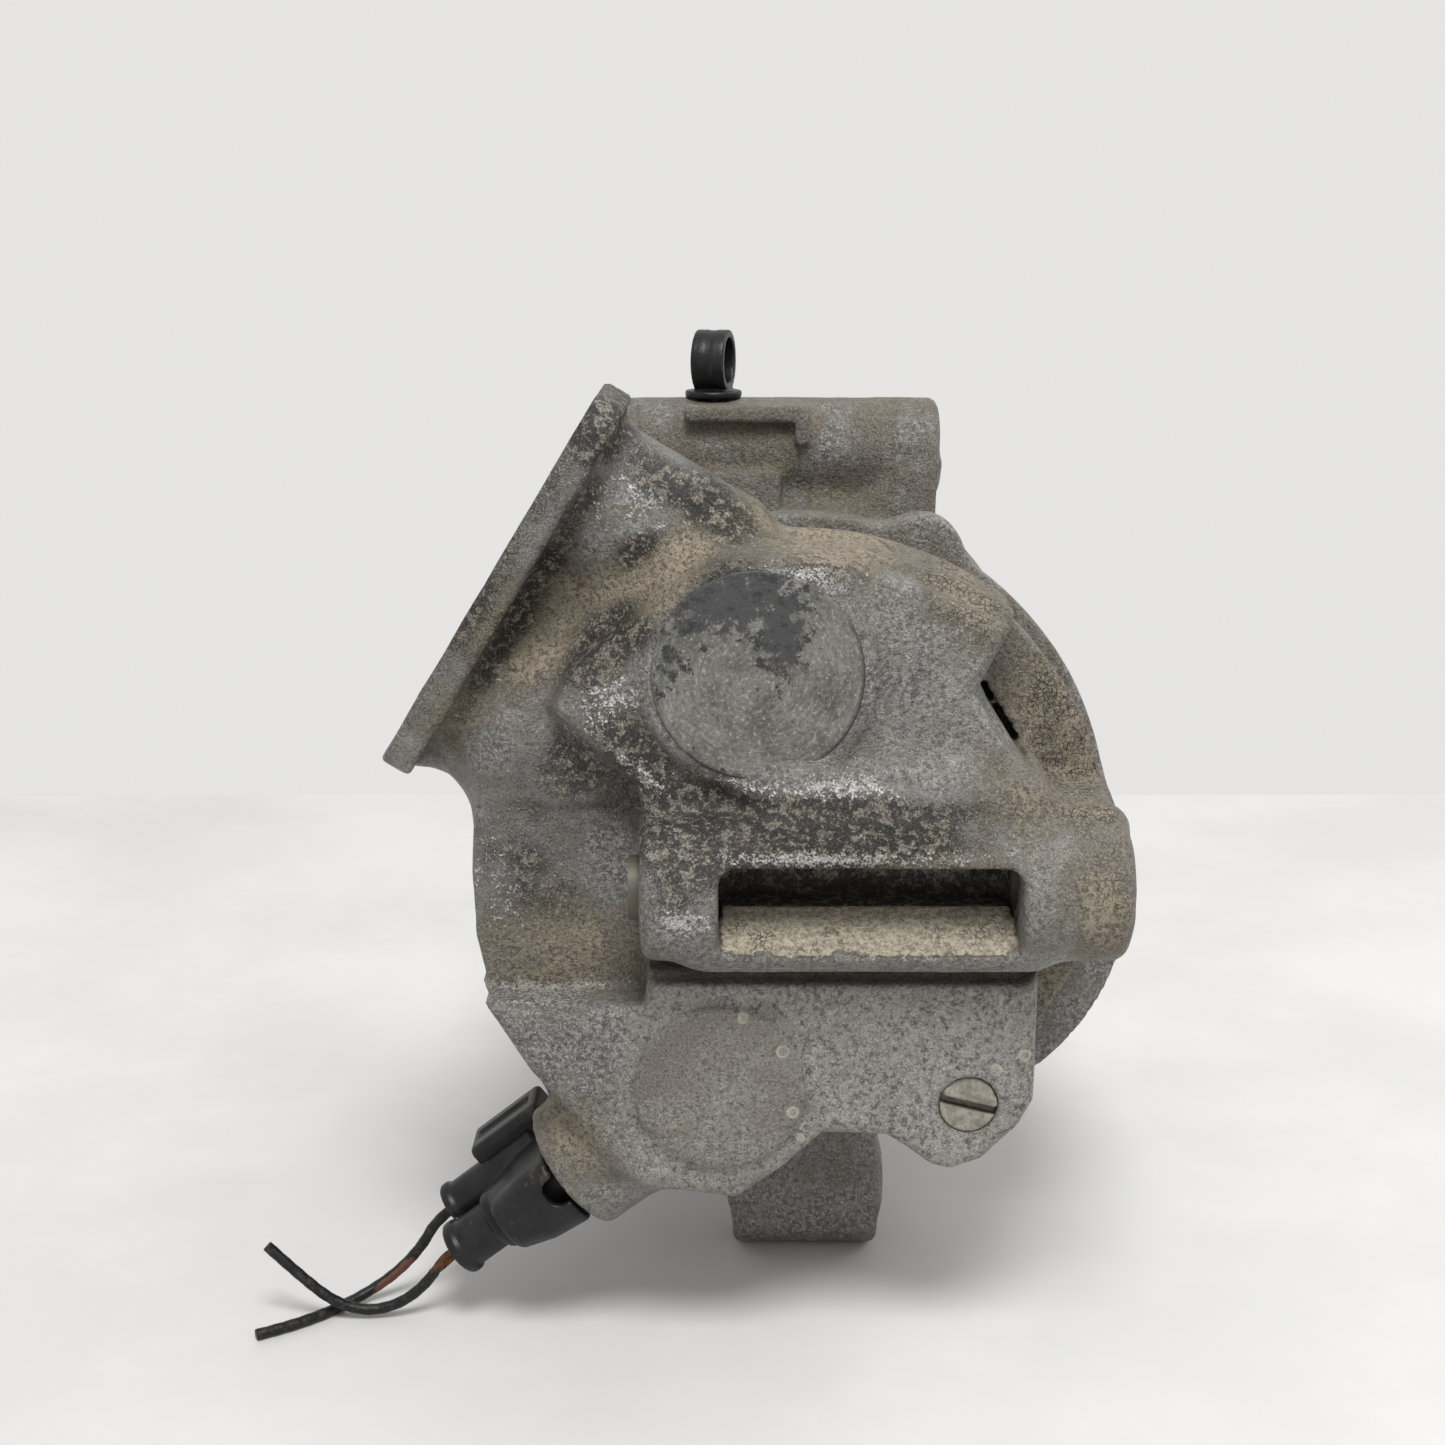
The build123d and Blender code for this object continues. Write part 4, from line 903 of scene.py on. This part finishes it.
    # painted shade: the more hollow a place is, the nearer its colour goes to black
    deep = cast.mask("hollow").step(0.35, 0.95) * 0.55
    colour = cast.colour(deep, colour, (0.022, 0.019, 0.015))
    height = grain * 0.9 + sand * 0.5 + mud * 0.6 - crack * 1.6 + black * 0.5 + white * 0.3
    return cast.surface(Base_Color=colour, Metallic=(1 - mud) * (1 - black) * (1 - film) * 0.35,
                        Roughness=mud * 0.3 + black * 0.15 + 0.46,
                        Normal=cast.bump(height, 0.0006, 0.9))


cast_finish = cast_metal("cast_aluminium")
for piece, node in ((rear_piece, "rear_housing"), (block_piece, "cylinder_block"),
                    (front_piece, "front_housing")):
    piece.data.materials.append(cast_finish)
    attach(piece, "housing")
    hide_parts(node)
print("nodes in the cast finish:", len(cast_finish.node_tree.nodes))

# %% [markdown]
# The CAD's other pieces have the right shape already, so they only need a finish: one for each
# of the record's material slots. All are the same recipe, two colours mixed by a cloud and a
# fine grain that also drives the roughness and a faint bump.

# %% Finishes for the CAD pieces
def fine_finish(name, dark, light, metallic, rough, grain_size=900):
    made = Finish(name)
    cloud, grain = made.noise(90, 4), made.noise(grain_size, 4, 0.65)
    colour = made.colour(cloud * 0.6 + grain * 0.4, dark, light)
    return made.surface(Base_Color=colour, Metallic=metallic, Roughness=grain * 0.25 + rough,
                        Normal=made.bump(grain, 0.00008))


recipes = {
    "machined_aluminium": ("turned_aluminium", (0.20, 0.195, 0.185), (0.42, 0.415, 0.40), 0.75, 0.3),
    "bright_steel": ("ground_steel", (0.13, 0.125, 0.115), (0.30, 0.295, 0.285), 0.8, 0.3),
    "zinc_steel": ("dull_plated_steel", (0.045, 0.038, 0.028), (0.16, 0.145, 0.12), 0.45, 0.45, 1400),
    "spring_steel": ("spring_wire", (0.08, 0.08, 0.09), (0.2, 0.2, 0.21), 0.8, 0.3),
    "black_steel": ("black_steel", (0.015, 0.015, 0.015), (0.06, 0.056, 0.05), 0.4, 0.4),
    "gasket_steel": ("coated_steel", (0.12, 0.12, 0.12), (0.26, 0.26, 0.26), 0.6, 0.35),
    "black_plastic": ("black_nylon", (0.006, 0.006, 0.007), (0.028, 0.027, 0.025), 0.0, 0.36, 500),
    "black_rubber": ("rubber", (0.014, 0.014, 0.014), (0.05, 0.048, 0.045), 0.0, 0.6, 1500),
    "seal_rubber": ("seal_rubber", (0.02, 0.03, 0.02), (0.05, 0.06, 0.05), 0.0, 0.5, 1500),
    "brass_pins": ("brass", (0.4, 0.28, 0.1), (0.65, 0.48, 0.2), 0.9, 0.25)}
looks = {"cast_aluminium": cast_finish, "wire_black": wire_finish, "wire_brown": wire_finish}
looks.update((slot, fine_finish(*recipe)) for slot, recipe in recipes.items())
slot_of = {row["node"]: row["material_slot"] for row in frame["record"]["subparts"]}
for name, node in nodes.items():
    node.data.materials.clear()
    node.data.materials.append(looks[slot_of[name]])
print("finishes on", len(nodes), "CAD nodes")

# %% [markdown]
# The round pad on the rear face is the one machined surface: a cutter has left faint rings on
# it, and scraps of black paint still cling to its upper part. It is a turned shape, so a
# profile is carried round its axis, with a ripple of a few hundredths of a millimetre.


# %% Machined pad
def turned_disc(name, profile, centre, turns=128):
    """A point of the profile at radius r and angle a goes to the centre plus r cos a, r sin a."""
    radius, depth = profile.T
    rows = len(radius)
    angle = np.linspace(0, 2 * np.pi, turns, endpoint=False)[:, None]
    rings = np.stack([centre[0] + np.cos(angle) * radius, np.broadcast_to(depth, (turns, rows)),
                      centre[1] + np.sin(angle) * radius], -1).reshape(-1, 3)
    middles = [(centre[0], depth[0], centre[1]), (centre[0], depth[-1], centre[1])]
    turn, row = np.meshgrid(np.arange(turns), np.arange(rows - 1), indexing="ij")
    here, there = turn * rows + row, (turn + 1) % turns * rows + row
    quads = np.stack([here, here + 1, there + 1, there], -1).reshape(-1, 4)
    inner = np.arange(turns) * rows
    outer = inner + rows - 1
    front_cap = np.c_[np.full(turns, len(rings)), inner, np.roll(inner, -1)]
    back_cap = np.c_[np.full(turns, len(rings) + 1), np.roll(outer, -1), outer]
    points = np.r_[rings, middles]
    return add_mesh(name, points, quads, front_cap, back_cap), points


radii = np.linspace(0.4, 18.9, 38)
pad_face = np.c_[radii, -181.45 + 0.012 * np.sin(radii * 9)]
pad_rim = [(19.2, -181.36), (19.4, -181.1), (19.4, -180.2)]
pad, pad_points = turned_disc("machined_pad", np.r_[pad_face, pad_rim], PAD)
from_centre = pad_points[:, [0, 2]] - np.array(PAD)
pad_radius = np.maximum(np.hypot(*from_centre.T), 1e-6)
paint(pad, "side", from_centre[:, 0] / pad_radius)
paint(pad, "rise", from_centre[:, 1] / pad_radius)
paint(pad, "reach", pad_radius / 20)
# painted shade: the outer rim of the pad is darkened on its lower right, where its edge throws a shadow
rim_shade_side = np.clip(0.5 - (from_centre @ (-0.5, 0.86)) / 24, 0, 1)
paint(pad, "rim", np.clip((pad_radius - 18.5) / 0.7, 0, 1) * rim_shade_side)
paint(pad, "paint", most(pad_points, [(1.15, -13, 54, 20, 11, 10), (1.1, -4, 49, 7, 15, 0),
                                      (0.6, -25, 44, 7, 12, 0)]))
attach(pad, "housing")
print("pad rings:", len(radii))

# %% [markdown]
# Rings that follow the cutter need their own coordinates: the direction from the middle, which
# changes slowly, and the distance from it, which changes fast. Noise read there is drawn out
# into arcs. The scraps of paint are a blob with a torn edge.

# %% Finish of the machined pad
turning = Finish("turned_pad")
arc = turning.node("ShaderNodeCombineXYZ", None, turning.mask("side") * 4.5,
                   turning.mask("rise") * 4.5, turning.mask("reach") * 34.0)
streak = turning.noise(1.0, 5, 0.75, arc)
cloud, grain = turning.noise(110, 5, 0.65), turning.noise(1300, 4, 0.75)
blotch = turning.noise(420, 5, 0.8)
metal = turning.colour(cloud.step(0.34, 0.62), (0.085, 0.079, 0.067), (0.165, 0.16, 0.145))
metal = turning.colour(streak.step(0.50, 0.66) * 0.45, metal, (0.30, 0.295, 0.27))
metal = turning.colour((1 - streak.step(0.34, 0.48)) * 0.5, metal, (0.055, 0.05, 0.041))
metal = turning.colour(grain.step(0.54, 0.66) * 0.5, metal, (0.46, 0.45, 0.42))
metal = turning.colour((1 - grain.step(0.34, 0.45)) * 0.6, metal, (0.035, 0.032, 0.027))
remnant = turning.mask("paint") + (blotch - 0.5) * 3.4 + (grain - 0.5) * 0.6
remnant = remnant.step(0.50, 0.56)
dark = turning.colour(blotch.step(0.54, 0.60), (0.034, 0.035, 0.037), (0.010, 0.010, 0.011))
metal = turning.colour(remnant * 0.95, metal, dark)
# painted shade along the lower right of the pad's rim
metal = turning.colour(turning.mask("rim") * 0.75, metal, (0.02, 0.018, 0.015))
pad.data.materials.append(turning.surface(
    Base_Color=metal, Metallic=(1 - remnant) * 0.35, Roughness=remnant * 0.1 + 0.42,
    Normal=turning.bump(streak * 0.7 + grain * 0.5 + remnant * 0.5, 0.0003, 0.8)))
print("nodes in the pad's finish:", len(turning.tree.nodes))

# %% [markdown]
# The oil hole low on the right is closed by a slotted plug, a little crowned, with a burr
# along the upper edge of its slot. The small moulded and turned parts from here on are fields
# again, on a grid of less than half a millimetre, because their edges are soft and they melt
# together too.

# %% Slotted plug
PLUG_TURN = math.radians(-14)


def slot_plug_field(x, y, z):
    """A crowned disc and a burr, less the slot, in axes turned along the slot."""
    dx, dz = x - PLUG[0], z - PLUG[1]
    run = dx * math.cos(PLUG_TURN) + dz * math.sin(PLUG_TURN)
    off = dz * math.cos(PLUG_TURN) - dx * math.sin(PLUG_TURN)
    radius = np.hypot(dx, dz)
    solid = thick(radius - 5.55, y, -178.9 + 0.006 * radius ** 2, -168.2, 0.35)
    lip = thick(rectangle(run, off, (-5.2, 0.9), (5.2, 2.6), 0.6), y, -179.2, -175, 0.3)
    solid = melt(solid, np.maximum(lip, radius - 5.4), 0.7)
    return carve(solid, thick(rectangle(run, off, (-7, -0.8), (7, 0.8), 0.1), y, -185, -177.2, 0.1), 0.25)


slot_plug, _, slot_plug_hollow = casting(
    "slotted_plug", slot_plug_field, (25, -181, -51), (39, -167, -37), 0.3, 0.02)

# %% [markdown]
# A black clip for a cable stands on the top tube: a strap bent into a ring, on a round base
# with a foot in a hole of the tube. The strap is turned a little, as if it had been pulled.

# %% Cable clip
CLIP_TURN = math.radians(-13)


def clip_field(x, y, z):
    """A ring of strap with a groove, melted to its neck and base, and the foot under it."""
    dx, dy = x + 16.7, y + 100
    across = dx * math.cos(CLIP_TURN) + dy * math.sin(CLIP_TURN)
    round_it = dy * math.cos(CLIP_TURN) - dx * math.sin(CLIP_TURN)
    ring_radius = np.hypot(round_it, z - 91.0)
    band = thick(np.abs(ring_radius - 5.75) - 0.8, across, -3.5, 3.5, 0.35)
    groove = thick(np.abs(ring_radius - 6.7) - 0.25, across, -0.8, 0.8, 0.2)
    band = carve(band, groove, 0.3)
    base = thick(np.hypot(dx, dy) - 6, z, 83.4, 84.9, 0.4)
    neck = thick(rectangle(across, round_it, (-3.2, -2.4), (3.2, 2.4), 1), z, 84, 86.4, 0.4)
    foot = thick(np.hypot(dx, dy) - 2.3, z, 79.4, 85, 0.3)
    return np.minimum(melt(melt(band, neck, 1.2), base, 0.8), foot)


clip, _, clip_hollow = casting(
    "clip_loop", clip_field, (-25, -108, 78.5), (-8, -92, 99), 0.4, 0.02)

# %% [markdown]
# The electrical plug is pushed on to the control valve: a tapered sleeve, a round collar, two
# tubes with rolled ends for the wires, a catch with its notch, and a lock piece beside it.


# %% Electrical plug
def plug_field(x, y, z):
    """Sleeve, collar, two tubes and catch, melted along the valve's axis, less the hollows."""
    out, up, back = valve_axes(x, y, z)
    wide = np.interp(out, [0.6, 9, 16], [12.5, 11.6, 10])
    tall = np.interp(out, [0.6, 9, 16], [8.0, 7.4, 5.8])
    sleeve = thick(rectangle(back, up, (-wide, -tall), (wide, tall), 4.5), out, 0.6, 16.5, 1.2)
    solid = melt(sleeve, thick(np.hypot(back, up) - 6.3, out, 5, 19.5, 1.0), 1.0)
    solid = melt(solid, thick(np.hypot(back, up) - 5.1, out, 5, 29.5, 0.5), 0.5)
    solid = melt(solid, thick(np.hypot(back, up) - 5.75, out, 27.2, 29.5, 0.7), 0.5)
    solid = melt(solid, thick(np.hypot(back + 9, up - 5) - 4.5, out, 5, 28, 0.5), 1.2)
    solid = melt(solid, thick(np.hypot(back + 9, up - 5) - 5.1, out, 26, 28, 0.6), 0.5)
    solid = melt(solid, thick(rectangle(back, up, (-6, -9.4), (2, -6), 1), out, 2.5, 13, 0.6), 0.6)
    inside = rectangle(back, up, (-wide + 1.8, -tall + 1.8), (wide - 1.8, tall - 1.8), 3)
    hollow = thick(inside, out, -5, 9, 0.5)
    notch = thick(rectangle(out, up, (-4, -1.5), (4.2, 4.5), 2.4), back, 3, 16, 0.4)
    solid = carve(carve(solid, hollow, 0.4), notch, 0.5)
    solid = carve(solid, thick(np.hypot(back, up) - 3.2, out, 18, 40, 0.1), 0.6)
    return carve(solid, thick(np.hypot(back + 9, up - 5) - 3.2, out, 18, 40, 0.1), 0.6)


def lock_field(x, y, z):
    """A rounded bar along the valve's axis, with a groove in its upper face."""
    out, up, back = valve_axes(x, y, z)
    solid = thick(rectangle(back + 14, up - 9.4, (-6, -3.3), (6, 3.3), 1.6), out, 0.8, 17.8, 1.0)
    groove = thick(rectangle(back + 14, up - 9.4, (-2, 2.7), (2, 5), 0.3), out, 3, 16, 0.4)
    return carve(solid, groove, 0.4)


plug_body, body_points, body_hollow = casting(
    "plug_body", plug_field, (-76, -177, -92), (-34, -148, -50), 0.5, 0.02)
lock_body, lock_points, lock_hollow = casting(
    "plug_lock_body", lock_field, (-76, -160, -76), (-42, -140, -42), 0.5, 0.02)

# %% [markdown]
# The nylon is nearly black and a little shiny, with dust where it meets the housing and in its
# corners. The slotted plug is coated with the same dry mud as the plate around it, and painted
# shade darkens its slot and other hollows.

# %% Finishes of the small parts
nylon = Finish("dusty_nylon")
nylon_cloud, nylon_grain = nylon.noise(160, 5, 0.65), nylon.noise(1100, 4, 0.7)
dusty = nylon.mask("dirt") + (nylon_cloud - 0.5) * 1.4 + (nylon_grain - 0.5) * 0.9
dusty = dusty.step(0.45, 1.0) * 0.75
tone = nylon.colour(nylon_cloud.step(0.35, 0.65), (0.004, 0.0042, 0.005), (0.011, 0.011, 0.0115))
tone = nylon.colour(dusty, tone, (0.085, 0.065, 0.045))
tone = nylon.colour(nylon_grain.step(0.66, 0.72) * 0.6, tone, (0.16, 0.15, 0.13))
nylon_finish = nylon.surface(Base_Color=tone, Roughness=dusty * 0.3 + 0.38, Specular_IOR_Level=0.3,
                             Normal=nylon.bump(nylon_grain + dusty * 0.4, 0.00012, 0.6))
for piece, points, hollow in ((plug_body, body_points, body_hollow),
                              (lock_body, lock_points, lock_hollow)):
    out, up, _ = valve_axes(*points.T)
    near_boss, upper = np.clip(1 - out / 16, 0, 1), np.clip(up / 8 + 0.3, 0, 1)
    paint(piece, "dirt", np.clip(near_boss * 0.7 * upper + 0.3 * hollow, 0, 1))
    piece.data.materials.append(nylon_finish)
paint(clip, "dirt", np.clip(0.6 * clip_hollow + 0.15, 0, 1))
clip.data.materials.append(nylon_finish)
dusty_plug = Finish("dusty_plug")
fine, coarse = dusty_plug.noise(1500, 4, 0.7), dusty_plug.noise(420, 4, 0.6)
tan = dusty_plug.colour(coarse.step(0.35, 0.65), (0.17, 0.155, 0.125), (0.30, 0.28, 0.235))
# painted shade: the slot and other hollows go dark brown, by how hollow they are
tan = dusty_plug.colour(dusty_plug.mask("dirt"), tan, (0.05, 0.042, 0.03))
slot_plug.data.materials.append(dusty_plug.surface(
    Base_Color=dusty_plug.colour((1 - fine.step(0.34, 0.46)) * 0.5, tan, (0.06, 0.052, 0.04)),
    Roughness=fine * 0.2 + 0.62, Metallic=coarse * 0.2, Normal=dusty_plug.bump(fine, 0.0003, 0.8)))
# the hollow number, which the finish turns into painted shade in the slot
paint(slot_plug, "dirt", np.clip(slot_plug_hollow * 0.9, 0, 1))
for piece, node, slot in ((slot_plug, "oil_plug", "zinc_steel"),
                          (clip, "cable_clip", "black_plastic"),
                          (plug_body, "plug_housing", "black_plastic"),
                          (lock_body, "plug_lock", "black_plastic")):
    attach(piece, "housing")
    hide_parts(node)

print("small parts finished: plug, clip, electrical plug and its lock")
